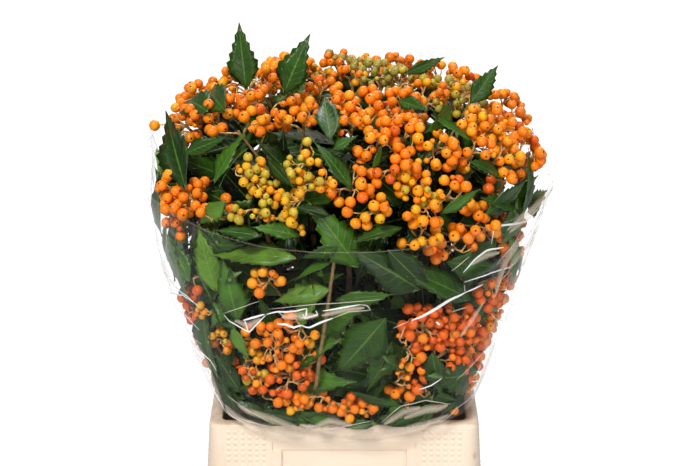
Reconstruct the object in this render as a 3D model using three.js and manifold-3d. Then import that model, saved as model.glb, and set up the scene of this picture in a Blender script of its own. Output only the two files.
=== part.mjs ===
// A market bunch of berried pittosporum: cut branches with toothed leaves and orange berries,
// gathered in a clear film sleeve and standing in a square flower bucket.
// Millimetres, +Z up. The origin is the middle of the bucket's flat underside, and the front faces -Y.

import * as THREE from "three";
import { LoftGeometry } from "three/addons/geometries/LoftGeometry.js";
import { mergeVertices } from "three/addons/utils/BufferGeometryUtils.js";
import Module from "manifold-3d";

const wasm = await Module();
wasm.setup();

// Bucket
const RIM = 300; // height of the rim, and of the whole bucket
const RIM_HALF = 143; // half the width across the top of the rim
const SHOULDER_HALF = 145; // just under the rim's rounded edge
const SKIRT_HALF = 150; // half the width across the foot of the collar
const SKIRT_DROP = 78; // how far the collar hangs below the rim
const SKIRT_WALL = 4;
const RIM_EDGE = 3; // height of the rim's rounded edge
const MOUTH_HALF = 131; // inside the mouth
const FLOOR_HALF = 110; // inside, at the floor
const FLOOR = 3; // thickness of the floor
const WALL = 2.5;
const CORNER = 7; // radius of the rounded corners inside the mouth
const SHOULDER_CORNER = 12; // outside, just under the rim's edge
const SKIRT_CORNER = 25;
const FLOOR_CORNER = 22; // inside, at the floor
const CORNER_STEPS = 3;
const OVERCUT = 1; // how far a cutting shape passes the face that it opens
// The label panel in each face of the collar, the wider notch at its head, and the rail down each
// side of it. Top and foot are measured down from the rim.
const PANEL = { middle: 0, half: 67, top: 30, foot: 66, deep: 2.4 };
const PANEL_HEAD = { middle: 0, half: 77, top: 20, foot: 30, deep: 1.2 };
const PANEL_RAIL = { middle: 72, half: 5, top: 30, foot: 66, deep: 1 };

// Crown, above the rim
const CROWN_HALF = 232; // half the width of the dome of berries
const CROWN_DEPTH = 0.91; // depth of the crown as a share of its width
const CROWN_SHOULDER = 222; // height where the dome starts
const CROWN_RISE = 128; // height of the dome itself
const LEAVES_OVER = 48; // how far leaf tips may stand over the berries
const LEAVES_BEYOND = 14; // how far they may reach out past the dome
const LOW_TOP = 188; // the low shoots stay under this height, the crown's masses over it

// Stems
const STEMS = 12;
const STEM_FOOT_SPREAD = 66; // how far from the middle the outermost stand on the floor
const STEM_MOUTH_SPREAD = 92; // and pass through the bucket's mouth
const STEM_TIP_SPREAD = 156; // and end, under the crown
const STEM_HEAD_SPREAD = 186; // middle of the outermost crown masses
const STEM_SHORT = 128; // how far below the dome a stem ends
const STEM_FOOT_RADIUS = 4.6;
const STEM_TIP_RADIUS = 2.6;
const GAP = 0.3; // clearance between pieces that meet
const LIMB_CLEARANCE = 0.45; // from a limb to whatever grows past it
const STEM_SIDES = 6;
const STEM_STEPS = 4;

// Boughs of the low shoots
const BOUGH_FROM = 0.5; // where along its stem each one leaves
const BOUGH_TIP = { radius: 104, up: 20 };
const BOUGH_RADIUS = { start: 2.6, end: 1.9 };
const BOUGH_BEND = { share: 0.45, rise: 12 }; // where it bends on its way, and how much it lifts
const BOUGH_SIDES = 5;
const BOUGH_STEPS = 3;

// Leaders, which carry on the line of a limb into its mass
const LEADER_GAP = 0.35; // between the limb's end and its leader
const CROWN_LEADER = { length: 20, radius: 2.8 };
const LOW_LEADER = { length: 12, radius: 2.5 };
const LEADER_TAPER = 0.95;
const LEADER_SIDES = 5;
const FORK_BACK = 3; // how far before the leader's end its twigs fork off

// Panicles of the crown and the low shoots
const PANICLES = 35;
const PANICLE_SPREAD = 208;
const PANICLE_DEPTH = 46; // from the lowest berry stalk to the dome
const PANICLE_RAYS = 3;
const PANICLE_PULLS = [0, 0.12, 0.24, 0.36, 0.48]; // how far it may be drawn in to its stem
const PANICLE_LEAN = { out: 1.15, down: 0.45 }; // how much it faces outwards at the crown's side
const LOW_PANICLE_DEPTH = 30;
const RAY_LEAN = { least: 0.62, more: 0.2 }; // radians from the twig
const RAY_SPACING = 0.55; // how much of the panicle's depth the stalks' roots take up
const RAY_SHRINK = 0.45; // how much shorter the last stalk is
const RAY_TRIES = 10;
const TWIG_STEPS = 3;
const TWIG_BEND = { early: 0.35, late: 0.42 }; // reach of its curve's handles, as shares of its span
const CROWN_TWIG_RADIUS = 2.4;
const LOW_TWIG_RADIUS = 2.2;
const SLIVER = 0.25; // joins leave no sliver finer than this
const BERRY_RADIUS = 9.5; // each stands for a few real berries
const CROWN_LEAVES = 10; // in each mass of the crown
const SHOOTS = 8;
const SHOOT_LEAVES = 7; // in each low mass
const SHOOT_TWIGS = [
  { up: 155, inset: 18, tilt: 0.8, rays: 0 },
  { up: 96, inset: 16, tilt: 0.4, rays: 3 },
  { up: 40, inset: 16, tilt: 0.1, rays: 2 },
];
const LEAF_LENGTH = 92; // a little over life size, as the solids have fewer leaves
const LEAF_WIDTH = 0.47; // as a share of the length
const LEAF_THICKNESS = 0.022; // at the root, as a share of the length
const LEAF_TRIES = 30; // places tried for each leaf
const LEAF_SCALE = { largest: 1.1, shrink: 0.6 };
const LEAF_PLACES = { from: 0.12, along: 0.7 }; // on its twig, as shares of the twig's length
const LEAF_LEAN = { low: 1.75, less: 1.3, spread: 0.45 }; // radians from the twig
const LEAF_FOLD = 0.05; // as a share of the length, like the three below
const LEAF_DROOP = 0.12;
const LEAF_WIDEST = 0.38;
const LEAF_NARROWER = { at: 0.66, width: 0.8, droop: 0.4 };
const LEAF_ALONG_TWIG = 0.6; // how much its face turns up the twig
const CROWN_FACING = { out: 0.4, up: 0.9 };
const TWIG_TIP_RADIUS = 2.1;
const STALK_RADIUS = 1;
const GOLDEN_ANGLE = Math.PI * (3 - Math.sqrt(5));

// Film sleeve, row by row: height above the rim, half width, reach to the front and to the back,
// and squareness. At the front it lies over the rim and hangs a little way down outside it.
const FILM = 0.8;
const FILM_ROWS = [
  { up: -70, side: 112, front: 112, back: 112, square: 4 },
  { up: -4, side: 124, front: 124, back: 124, square: 5 },
  { up: 1, side: 125, front: 128, back: 125, square: 5 },
  { up: 1.4, side: 126, front: 147, back: 126, square: 5 },
  { up: 6, side: 139, front: 158, back: 129, square: 5, hang: 18 },
  { up: 14, side: 146, front: 170, back: 135, square: 4.6 },
  { up: 55, side: 165, front: 181, back: 158, square: 3.4 },
  { up: 120, side: 191, front: 193, back: 182, square: 2.6 },
  { up: 180, side: 211, front: 202, back: 199, square: 2.2 },
  { up: 225, side: 224, front: 208, back: 210, square: 2 },
];
const FILM_BACK_RISE = 55; // how much higher the film's edge stands at the back than at the front
const FILM_RISE_FROM = 120; // height above which that rise is taken up
const FILM_TOP = FILM_ROWS[FILM_ROWS.length - 1].up;
const FILM_HANG_HALF = 0.6; // cosine of the direction where the hanging front ends
const FILM_SLICES = 24;
const FILM_CLEARANCE = 4.5; // from the film's middle surface to the foliage

const bark = new THREE.MeshStandardMaterial({ color: "#6d5a3c", roughness: 0.85 });
const foliage = new THREE.MeshStandardMaterial({ color: "#2f5a26", roughness: 0.45 });
const cream = new THREE.MeshStandardMaterial({ color: "#fde3c6", roughness: 0.5 });
const clear = new THREE.MeshStandardMaterial({
  color: "#f4f8f8",
  roughness: 0.1,
  transparent: true,
  opacity: 0.25,
});

// Numbers from 0 to 1 that are the same on every run.
function seeded(seed) {
  let state = 7919 * seed + 104729;
  return () => {
    state = (state * 16807) % 2147483647;
    return state / 2147483647;
  };
}

function solid(geometry) {
  const bare = new THREE.BufferGeometry();
  bare.setAttribute("position", geometry.getAttribute("position"));
  bare.setIndex(geometry.index);
  const merged = mergeVertices(bare, 1e-4);
  return new wasm.Manifold(
    new wasm.Mesh({
      numProp: 3,
      vertProperties: merged.getAttribute("position").array,
      triVerts: new Uint32Array(merged.index.array),
    }),
  );
}

function meshOf(name, shape, material) {
  const { vertProperties, triVerts } = shape.getMesh();
  const geometry = new THREE.BufferGeometry();
  geometry.setAttribute("position", new THREE.BufferAttribute(vertProperties, 3));
  geometry.setIndex(new THREE.BufferAttribute(triVerts, 1));
  geometry.computeVertexNormals();
  const mesh = new THREE.Mesh(geometry, material);
  mesh.name = name;
  return mesh;
}

// Bucket: a collar that flares out over the body, with a railed label panel in each face

function roundedSquare(half, corner, z) {
  const shape = new THREE.Shape();
  const flat = half - corner;
  shape.absarc(flat, -flat, corner, -Math.PI / 2, 0);
  shape.absarc(flat, flat, corner, 0, Math.PI / 2);
  shape.absarc(-flat, flat, corner, Math.PI / 2, Math.PI);
  shape.absarc(-flat, -flat, corner, Math.PI, 1.5 * Math.PI);
  return shape.getPoints(CORNER_STEPS).map((p) => new THREE.Vector3(p.x, p.y, z));
}

function tub(rows) {
  const sections = rows.map(([half, corner, z]) => roundedSquare(half, corner, z));
  return solid(new LoftGeometry(sections, { capStart: true, capEnd: true }));
}

// A flat block half sunk in the front face of the collar, leaning with the collar's flare.
function onCollar({ middle, half, top, foot, deep }) {
  const lean = Math.atan((SKIRT_HALF - SHOULDER_HALF) / SKIRT_DROP);
  const drop = (top + foot) / 2;
  const face = SHOULDER_HALF + drop * Math.tan(lean);
  const block = new THREE.BoxGeometry(2 * half, 2 * deep, foot - top);
  return block.rotateX(-lean).translate(middle, -face, RIM - drop);
}

function bucket() {
  const hem = RIM - SKIRT_DROP;
  const collar = tub([
    [SKIRT_HALF, SKIRT_CORNER, hem],
    [SHOULDER_HALF, SHOULDER_CORNER, RIM - RIM_EDGE],
    [RIM_HALF, SHOULDER_CORNER - RIM_EDGE / 2, RIM],
  ]);
  const underCollar = tub([
    [SKIRT_HALF - SKIRT_WALL, SKIRT_CORNER - SKIRT_WALL, hem - OVERCUT],
    [SHOULDER_HALF - SKIRT_WALL, SHOULDER_CORNER - SKIRT_WALL, RIM - 2 * RIM_EDGE],
  ]);
  const body = tub([
    [FLOOR_HALF + WALL, FLOOR_CORNER + WALL, 0],
    [MOUTH_HALF + WALL, CORNER + WALL, RIM - RIM_EDGE],
  ]);
  const inside = tub([
    [FLOOR_HALF, FLOOR_CORNER, FLOOR],
    [MOUTH_HALF, CORNER, RIM + OVERCUT],
  ]);
  let shape = collar.subtract(underCollar).add(body).subtract(inside);
  const otherRail = { ...PANEL_RAIL, middle: -PANEL_RAIL.middle };
  for (let side = 0; side < 4; side++) {
    const turned = (block) => solid(onCollar(block).rotateZ((side * Math.PI) / 2));
    shape = shape.subtract(turned(PANEL)).subtract(turned(PANEL_HEAD));
    shape = shape.add(turned(PANEL_RAIL)).add(turned(otherRail));
  }
  return meshOf("bucket", shape, cream);
}

// Film sleeve: the space inside it is cut from a slightly larger loft, which leaves one thin wall

function filmRow(row, angle) {
  const reach = Math.sin(angle) < 0 ? row.front : row.back;
  const across = (Math.abs(Math.cos(angle)) / row.side) ** row.square;
  const along = (Math.abs(Math.sin(angle)) / reach) ** row.square;
  const share = Math.max(0, (row.up - FILM_RISE_FROM) / (FILM_TOP - FILM_RISE_FROM));
  const rise = FILM_BACK_RISE * (0.5 + 0.5 * Math.sin(angle)) * share;
  const aside = Math.sin(angle) < 0 ? Math.cos(angle) / FILM_HANG_HALF : 1;
  const height = RIM + row.up + rise - (row.hang ?? 0) * Math.max(0, 1 - aside ** 2);
  return new THREE.Vector2((across + along) ** (-1 / row.square), height);
}

const filmProfile = (angle) => FILM_ROWS.map((row) => filmRow(row, angle));

// One row of the film as a ring of points, moved outwards from its middle surface by an offset.
function filmRing(index, offset, raise) {
  const ring = [];
  for (let i = 0; i < FILM_SLICES; i++) {
    const angle = (2 * Math.PI * i) / FILM_SLICES;
    const line = filmProfile(angle);
    const before = line[Math.max(0, index - 1)];
    const after = line[Math.min(line.length - 1, index + 1)];
    const along = after.clone().sub(before).normalize();
    const out = line[index].x + along.y * offset;
    const up = line[index].y - along.x * offset + raise;
    ring.push(new THREE.Vector3(out * Math.cos(angle), out * Math.sin(angle), up));
  }
  return ring;
}

function filmSpace(offset, beyond) {
  const last = FILM_ROWS.length - 1;
  const rings = FILM_ROWS.map((row, i) =>
    filmRing(i, offset, i === 0 ? -beyond : i === last ? beyond : 0),
  );
  return solid(new LoftGeometry(rings, { capStart: true, capEnd: true }));
}

function sleeve() {
  return meshOf("film_sleeve", filmSpace(FILM / 2, 0).subtract(filmSpace(-FILM / 2, OVERCUT)), clear);
}

function insideFilm(point, clearance) {
  const line = filmProfile(Math.atan2(point.y, point.x));
  const radius = Math.hypot(point.x, point.y);
  const above = line.findIndex((p) => p.y > point.z);
  if (above < 1) return above < 0;
  const [low, high] = [line[above - 1], line[above]];
  const share = (point.z - low.y) / (high.y - low.y);
  return radius < low.x + share * (high.x - low.x) - clearance;
}

// Limbs: each tapering limb is a loft of small rings along its curve

function limb(curve, startRadius, endRadius, sides, steps) {
  const frames = curve.computeFrenetFrames(steps);
  const sections = [];
  for (let i = 0; i <= steps; i++) {
    const centre = curve.getPointAt(i / steps);
    const radius = THREE.MathUtils.lerp(startRadius, endRadius, i / steps);
    const ring = [];
    for (let j = 0; j < sides; j++) {
      const angle = (2 * Math.PI * j) / sides;
      const across = frames.normals[i].clone().multiplyScalar(radius * Math.cos(angle));
      const over = frames.binormals[i].clone().multiplyScalar(radius * Math.sin(angle));
      ring.push(centre.clone().add(across).add(over));
    }
    sections.push(ring);
  }
  return new LoftGeometry(sections, { capStart: true, capEnd: true });
}

function sunflower(index, count, spread) {
  const radius = spread * Math.sqrt((index + 0.5) / count);
  const angle = index * GOLDEN_ANGLE;
  return new THREE.Vector2(radius * Math.cos(angle), radius * Math.sin(angle) * CROWN_DEPTH);
}

function domePoint({ x, y }) {
  const share = Math.hypot(x, y / CROWN_DEPTH) / CROWN_HALF;
  const rise = CROWN_RISE * Math.sqrt(Math.max(0, 1 - share ** 4));
  return new THREE.Vector3(x, y, RIM + CROWN_SHOULDER + rise);
}

function stemCurve(index) {
  const head = sunflower(index, STEMS, STEM_HEAD_SPREAD);
  const foot = head.clone().multiplyScalar(STEM_FOOT_SPREAD / STEM_HEAD_SPREAD);
  const mouth = head.clone().multiplyScalar(STEM_MOUTH_SPREAD / STEM_HEAD_SPREAD);
  const tip = head.clone().multiplyScalar(STEM_TIP_SPREAD / STEM_HEAD_SPREAD);
  return new THREE.CatmullRomCurve3([
    new THREE.Vector3(foot.x, foot.y, FLOOR + GAP),
    new THREE.Vector3(mouth.x, mouth.y, RIM),
    new THREE.Vector3(tip.x, tip.y, domePoint(head).z - STEM_SHORT),
  ]);
}

// The lowest ring is laid level, so that the cut foot stands flat on the bucket's floor.
function stem(curve, extra) {
  const [start, end] = [STEM_FOOT_RADIUS + extra, STEM_TIP_RADIUS + extra];
  const geometry = limb(curve, start, end, STEM_SIDES, STEM_STEPS);
  const position = geometry.getAttribute("position");
  for (let i = 0; i < position.count; i++) {
    if (position.getZ(i) < FLOOR + 2 * STEM_FOOT_RADIUS) position.setZ(i, FLOOR + GAP);
  }
  return geometry;
}

// Leaves and berries

// A leaf has its root at the origin and its tip along +Y. It is a thin blade, folded a little along
// its midrib, where it is thickest at the root.
const LEAF_FACES = [
  [0, 3, 5], [0, 5, 6], [0, 6, 4], [0, 4, 2], // upper side
  [1, 5, 3], [1, 6, 5], [1, 4, 6], [1, 2, 4], // underside
  [0, 2, 1], [0, 1, 3], // root
];

function leafGeometry(length, fold, droop) {
  const half = (LEAF_WIDTH * length) / 2;
  const thick = (LEAF_THICKNESS * length) / 2;
  const widest = LEAF_WIDEST * length;
  const { at, width, droop: early } = LEAF_NARROWER;
  const corners = [
    [0, 0, thick],
    [0, 0, -thick],
    [-half, widest, fold],
    [half, widest, fold],
    [-width * half, at * length, fold - early * droop],
    [width * half, at * length, fold - early * droop],
    [0, length, -droop],
  ];
  const geometry = new THREE.BufferGeometry();
  geometry.setAttribute("position", new THREE.Float32BufferAttribute(corners.flat(), 3));
  geometry.setIndex(LEAF_FACES.flat());
  return geometry;
}

function oriented(geometry, at, towards, facing) {
  const up = facing.clone().addScaledVector(towards, -facing.dot(towards)).normalize();
  const side = new THREE.Vector3().crossVectors(towards, up);
  const frame = new THREE.Matrix4().makeBasis(side, towards, up).setPosition(at);
  return geometry.applyMatrix4(frame);
}

function berryGeometry(at, radius, turn) {
  const ball = new THREE.SphereGeometry(radius, 4, 3).rotateX(turn).rotateZ(2 * turn);
  return ball.translate(at.x, at.y, at.z);
}

// A direction that leans away from an axis by polar, at an angle round it.
function leaning(axis, polar, angle) {
  const side = new THREE.Vector3(0, 0, 1).cross(axis);
  if (side.length() < 0.1) side.set(1, 0, 0);
  side.normalize();
  const direction = axis.clone().applyAxisAngle(side, polar);
  return direction.applyAxisAngle(axis, angle).normalize();
}

// Masses: the twigs, leaves and berries of one limb, fused, each mass inside its own space

class Mass {
  constructor(name, holds, limbs) {
    this.name = name;
    this.holds = holds;
    this.limbs = limbs;
    this.pieces = [];
  }

  fits(geometry) {
    const position = geometry.getAttribute("position");
    const point = new THREE.Vector3();
    for (let i = 0; i < position.count; i++) {
      point.fromBufferAttribute(position, i);
      if (!this.holds(point) || !insideFilm(point, FILM_CLEARANCE)) return false;
    }
    return true;
  }

  // Adds a piece unless it would leave the space, touch a limb, or run through a piece of this
  // mass other than those it grows from.
  add(geometries, parents = this.pieces) {
    if (!geometries.every((g) => this.fits(g))) return null;
    const shape = wasm.Manifold.union(geometries.map(solid));
    const piece = blocker(shape);
    const others = this.pieces.filter((other) => !parents.includes(other));
    for (const other of [...this.limbs, ...others]) {
      if (!other.box.intersectsBox(piece.box)) continue;
      if (!shape.intersect(other.shape).isEmpty()) return null;
    }
    this.pieces.push(piece);
    return piece;
  }

  mesh() {
    const shape = wasm.Manifold.union(this.pieces.map((piece) => piece.shape));
    return meshOf(this.name, shape.asOriginal().simplify(SLIVER), foliage);
  }
}

function blocker(shape) {
  const { min, max } = shape.boundingBox();
  return { shape, box: new THREE.Box3(new THREE.Vector3(...min), new THREE.Vector3(...max)) };
}

// A short leader, which carries on the line of its limb just clear of the limb's end.
function addLeader(mass, curve, { length, radius }) {
  const heading = curve.getTangentAt(1);
  const start = curve.getPointAt(1).addScaledVector(heading, LEADER_GAP);
  const end = start.clone().addScaledVector(heading, length);
  const line = new THREE.LineCurve3(start, end);
  mass.add([limb(line, radius, radius * LEADER_TAPER, LEADER_SIDES, 1)]);
  return { heading, fork: end.addScaledVector(heading, -FORK_BACK) };
}

// A twig bends from the fork towards its axis and ends in its top berry.
function addTwig(mass, { fork, heading }, top, axis, radius) {
  const span = fork.distanceTo(top);
  const early = fork.clone().addScaledVector(heading, TWIG_BEND.early * span);
  const late = top.clone().addScaledVector(axis, -TWIG_BEND.late * span);
  const curve = new THREE.CubicBezierCurve3(fork, early, late, top);
  const twig = limb(curve, radius, TWIG_TIP_RADIUS, 3, TWIG_STEPS);
  const piece = mass.add([twig, berryGeometry(top, BERRY_RADIUS, span)]);
  return piece && { rings: curve.getSpacedPoints(TWIG_STEPS), piece, span: curve.getLength() };
}

// A place on a twig's centre line, which is straight from ring to ring.
function placeOn(rings, share) {
  const low = Math.min(Math.floor(share * TWIG_STEPS), TWIG_STEPS - 1);
  const at = rings[low].clone().lerp(rings[low + 1], share * TWIG_STEPS - low);
  return { at, axis: rings[low + 1].clone().sub(rings[low]).normalize() };
}

// Berry stalks leave the last part of a twig one after another, each with one berry.
function addPanicle(mass, { rings, piece, span }, depth, rays, random) {
  let angle = 2 * Math.PI * random();
  for (let i = 0; i < rays; i++) {
    const { at, axis } = placeOn(rings, 1 - (depth * (1 - (RAY_SPACING * i) / rays)) / span);
    for (let attempt = 0; attempt < RAY_TRIES; attempt++) {
      angle += attempt ? 0.7 : GOLDEN_ANGLE;
      const lean = (RAY_LEAN.least + RAY_LEAN.more * random()) * (1 - 0.05 * attempt);
      const towards = leaning(axis, lean, angle);
      const reach = depth * (1 - (RAY_SHRINK * i) / rays) * (1 + 0.15 * random());
      const end = at.clone().addScaledVector(towards, reach);
      const stalk = limb(new THREE.LineCurve3(at, end), STALK_RADIUS, STALK_RADIUS, 3, 1);
      const berry = berryGeometry(end, BERRY_RADIUS * (0.85 + 0.3 * random()), 3 * random());
      if (mass.add([stalk, berry], [piece])) break;
    }
  }
}

// Leaves are tried here and there on the mass's twigs, shorter with each try, until it has its
// count. Those near a twig's end stand along it, and the lower ones spread or hang.
function addLeaves(mass, twigs, count, facing, random) {
  let angle = 2 * Math.PI * random();
  let placed = 0;
  const tries = LEAF_TRIES * count;
  for (let attempt = 0; attempt < tries && placed < count; attempt++) {
    const { rings, piece } = twigs[attempt % twigs.length];
    const share = LEAF_PLACES.from + LEAF_PLACES.along * random();
    const { at, axis } = placeOn(rings, share);
    angle += GOLDEN_ANGLE;
    const lean = LEAF_LEAN.low - LEAF_LEAN.less * share - LEAF_LEAN.spread * random();
    const towards = leaning(axis, lean, angle);
    const length = LEAF_LENGTH * (LEAF_SCALE.largest - (LEAF_SCALE.shrink * attempt) / tries);
    const leaf = leafGeometry(length, LEAF_FOLD * length, LEAF_DROOP * length * random());
    const up = facing(at).addScaledVector(axis, LEAF_ALONG_TWIG);
    if (mass.add([oriented(leaf, at, towards, up)], [piece])) placed++;
  }
}

const outwards = (p) => new THREE.Vector3(p.x, p.y, 0).normalize();

function panicleAxis(target) {
  const lean = Math.hypot(target.x, target.y / CROWN_DEPTH) / CROWN_HALF;
  const axis = outwards(target).multiplyScalar(PANICLE_LEAN.out * lean ** 2);
  axis.z = 1 - PANICLE_LEAN.down * lean ** 3;
  return axis.normalize();
}

// The crown mass on one stem: its leader forks into a twig for each of its panicles.
function crownMass(index, curve, heads, targets, limbs) {
  const holds = (p) => {
    if (p.z < RIM + LOW_TOP + GAP || p.z > domePoint(p).z + LEAVES_OVER) return false;
    if (Math.hypot(p.x, p.y / CROWN_DEPTH) > CROWN_HALF + LEAVES_BEYOND) return false;
    const own = Math.hypot(p.x - heads[index].x, p.y - heads[index].y);
    return heads.every(
      (head, i) => i === index || own + 2 * GAP < Math.hypot(p.x - head.x, p.y - head.y),
    );
  };
  const mass = new Mass(`crown_mass_${index + 1}`, holds, limbs);
  const random = seeded(index + 1);
  const leader = addLeader(mass, curve, CROWN_LEADER);
  const twigs = targets.map((target) => {
    for (const pull of PANICLE_PULLS) {
      const place = target.clone().lerp(heads[index], pull);
      const axis = panicleAxis(place);
      const top = domePoint(place).addScaledVector(axis, -BERRY_RADIUS);
      const twig = addTwig(mass, leader, top, axis, CROWN_TWIG_RADIUS);
      if (twig) return twig;
    }
    return null;
  });
  const facing = (p) => outwards(p).multiplyScalar(CROWN_FACING.out).setZ(CROWN_FACING.up);
  const grown = twigs.filter(Boolean);
  for (const twig of grown) addPanicle(mass, twig, PANICLE_DEPTH, PANICLE_RAYS, random);
  addLeaves(mass, grown, CROWN_LEAVES, facing, random);
  return mass;
}

// A low shoot leaves a stem by its own bough, and presses its leaves and berries to the film.
const shootAngle = (index) => ((index + 0.5) / SHOOTS) * 2 * Math.PI;

function shootPoint(index, radius, up) {
  const angle = shootAngle(index);
  return new THREE.Vector3(radius * Math.cos(angle), radius * Math.sin(angle), RIM + up);
}

function filmReach(index, up) {
  const line = filmProfile(shootAngle(index));
  const high = line.findIndex((p) => p.y > RIM + up);
  const share = (RIM + up - line[high - 1].y) / (line[high].y - line[high - 1].y);
  return THREE.MathUtils.lerp(line[high - 1].x, line[high].x, share);
}

function boughCurve(index, curves) {
  const tip = shootPoint(index, BOUGH_TIP.radius, BOUGH_TIP.up);
  const origins = curves.map((curve) => curve.getPointAt(BOUGH_FROM));
  const apart = origins.map((point) => point.distanceTo(tip));
  const parent = apart.indexOf(Math.min(...apart));
  const from = origins[parent];
  const bend = from.clone().lerp(tip, BOUGH_BEND.share);
  bend.z += BOUGH_BEND.rise;
  return { parent, curve: new THREE.QuadraticBezierCurve3(from, bend, tip) };
}

function shootMass(index, curve, limbs) {
  const middle = shootAngle(index);
  const half = Math.PI / SHOOTS;
  const walls = [
    new THREE.Vector2(-Math.sin(middle - half), Math.cos(middle - half)),
    new THREE.Vector2(Math.sin(middle + half), -Math.cos(middle + half)),
  ];
  const holds = (p) => p.z < RIM + LOW_TOP && walls.every((w) => w.x * p.x + w.y * p.y > GAP);
  const mass = new Mass(`low_mass_${index + 1}`, holds, limbs);
  const random = seeded(index + 101);
  const leader = addLeader(mass, curve, LOW_LEADER);
  const twigs = SHOOT_TWIGS.map(({ up, inset, tilt }) => {
    const top = shootPoint(index, filmReach(index, up) - inset, up);
    return addTwig(mass, leader, top, outwards(top).setZ(tilt).normalize(), LOW_TWIG_RADIUS);
  });
  twigs.forEach((twig, i) => {
    if (twig) addPanicle(mass, twig, LOW_PANICLE_DEPTH, SHOOT_TWIGS[i].rays, random);
  });
  addLeaves(mass, twigs.filter(Boolean), SHOOT_LEAVES, outwards, random);
  return mass;
}

// The bunch

const bunch = new THREE.Group();
const holders = [bucket(), sleeve()];
bunch.add(...holders);

// Each limb has a slightly fatter copy, which cuts or keeps off whatever comes near it.
const stemCurves = Array.from({ length: STEMS }, (_, i) => stemCurve(i));
const stemBlocks = stemCurves.map((curve, i) => {
  bunch.add(meshOf(`stem_${i + 1}`, solid(stem(curve, 0)), bark));
  return blocker(solid(stem(curve, LIMB_CLEARANCE)));
});

const boughs = Array.from({ length: SHOOTS }, (_, i) => boughCurve(i, stemCurves));
function bough(curve, extra) {
  const { start, end } = BOUGH_RADIUS;
  return solid(limb(curve, start + extra, end + extra, BOUGH_SIDES, BOUGH_STEPS));
}
const boughBlocks = boughs.map(({ curve, parent }, i) => {
  const shape = bough(curve, 0).subtract(stemBlocks[parent].shape);
  bunch.add(meshOf(`bough_${i + 1}`, shape, bark));
  return blocker(bough(curve, LIMB_CLEARANCE));
});

const heads = stemCurves.map((curve, i) => sunflower(i, STEMS, STEM_HEAD_SPREAD));
const shares = heads.map(() => []);
for (let i = 0; i < PANICLES; i++) {
  const target = sunflower(i, PANICLES, PANICLE_SPREAD);
  const apart = heads.map((head) => head.distanceTo(target));
  shares[apart.indexOf(Math.min(...apart))].push(target);
}
const blocks = [...stemBlocks, ...boughBlocks, ...holders.map((h) => blocker(solid(h.geometry)))];
stemCurves.forEach((curve, i) => {
  bunch.add(crownMass(i, curve, heads, shares[i], blocks).mesh());
});
boughs.forEach(({ curve }, i) => bunch.add(shootMass(i, curve, blocks).mesh()));

export default bunch;
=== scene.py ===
# A market bunch of berried pittosporum: cut branches with toothed leaves and orange berries, gathered
# in a clear film sleeve and standing in a square flower bucket. Sizes are in millimetres up to the last
# line of each piece, which turns them to metres.

import math

import bmesh
import bpy
import numpy as np
from mathutils import Matrix, Vector


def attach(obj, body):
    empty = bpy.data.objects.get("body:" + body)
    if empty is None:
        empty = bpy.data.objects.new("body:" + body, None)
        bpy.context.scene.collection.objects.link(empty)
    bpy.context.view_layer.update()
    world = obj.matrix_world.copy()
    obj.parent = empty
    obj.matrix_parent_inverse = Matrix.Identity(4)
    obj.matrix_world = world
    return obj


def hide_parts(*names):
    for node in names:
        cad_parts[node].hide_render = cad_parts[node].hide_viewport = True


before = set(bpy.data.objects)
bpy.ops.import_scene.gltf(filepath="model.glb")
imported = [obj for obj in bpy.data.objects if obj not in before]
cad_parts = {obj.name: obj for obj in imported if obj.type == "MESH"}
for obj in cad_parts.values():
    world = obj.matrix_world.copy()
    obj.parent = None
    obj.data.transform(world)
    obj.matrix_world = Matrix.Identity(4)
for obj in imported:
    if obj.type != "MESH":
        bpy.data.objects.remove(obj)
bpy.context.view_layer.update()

# Camera
# The photograph looks down a little on the bunch from two metres in front, through a long lens.
FOCUS = 2000.0  # of the lens, in pixels of the picture
PICTURE = (700, 466)
PITCH = math.radians(21)
EYE = Vector((6.4, -2072.9, 1260.5))
camera = bpy.data.objects.new("camera", bpy.data.cameras.new("camera"))
bpy.context.scene.collection.objects.link(camera)
camera.data.sensor_width = 36
camera.data.lens = 36 * FOCUS / PICTURE[0]
camera.data.clip_end = 100
camera.location = EYE / 1000
camera.rotation_euler = (math.radians(90) - PITCH, 0, 0)
bpy.context.scene.camera = camera


def sight(across, down):
    """The direction from the camera through a point of the picture, which moves 1 mm in depth."""
    right = (across - PICTURE[0] / 2) / FOCUS
    up = (PICTURE[1] / 2 - down) / FOCUS
    ahead = Vector((0, math.cos(PITCH), -math.sin(PITCH)))
    return ahead + Vector((right, 0, 0)) + Vector((0, math.sin(PITCH), math.cos(PITCH))) * up


def picture_place(p):
    """Where in the picture a point shows, across and down."""
    ahead, up = math.cos(PITCH), math.sin(PITCH)
    off = np.array(p) - np.array(EYE)
    far = off @ (0, ahead, -up)
    return PICTURE[0] / 2 + FOCUS * off[0] / far, PICTURE[1] / 2 - FOCUS * (off @ (0, up, ahead)) / far


def seen_at(across, down, depth):
    """The point on the upright plane y = depth that shows at that place in the picture."""
    way = sight(across, down)
    return EYE + way * ((depth - EYE.y) / way.y)


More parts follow.
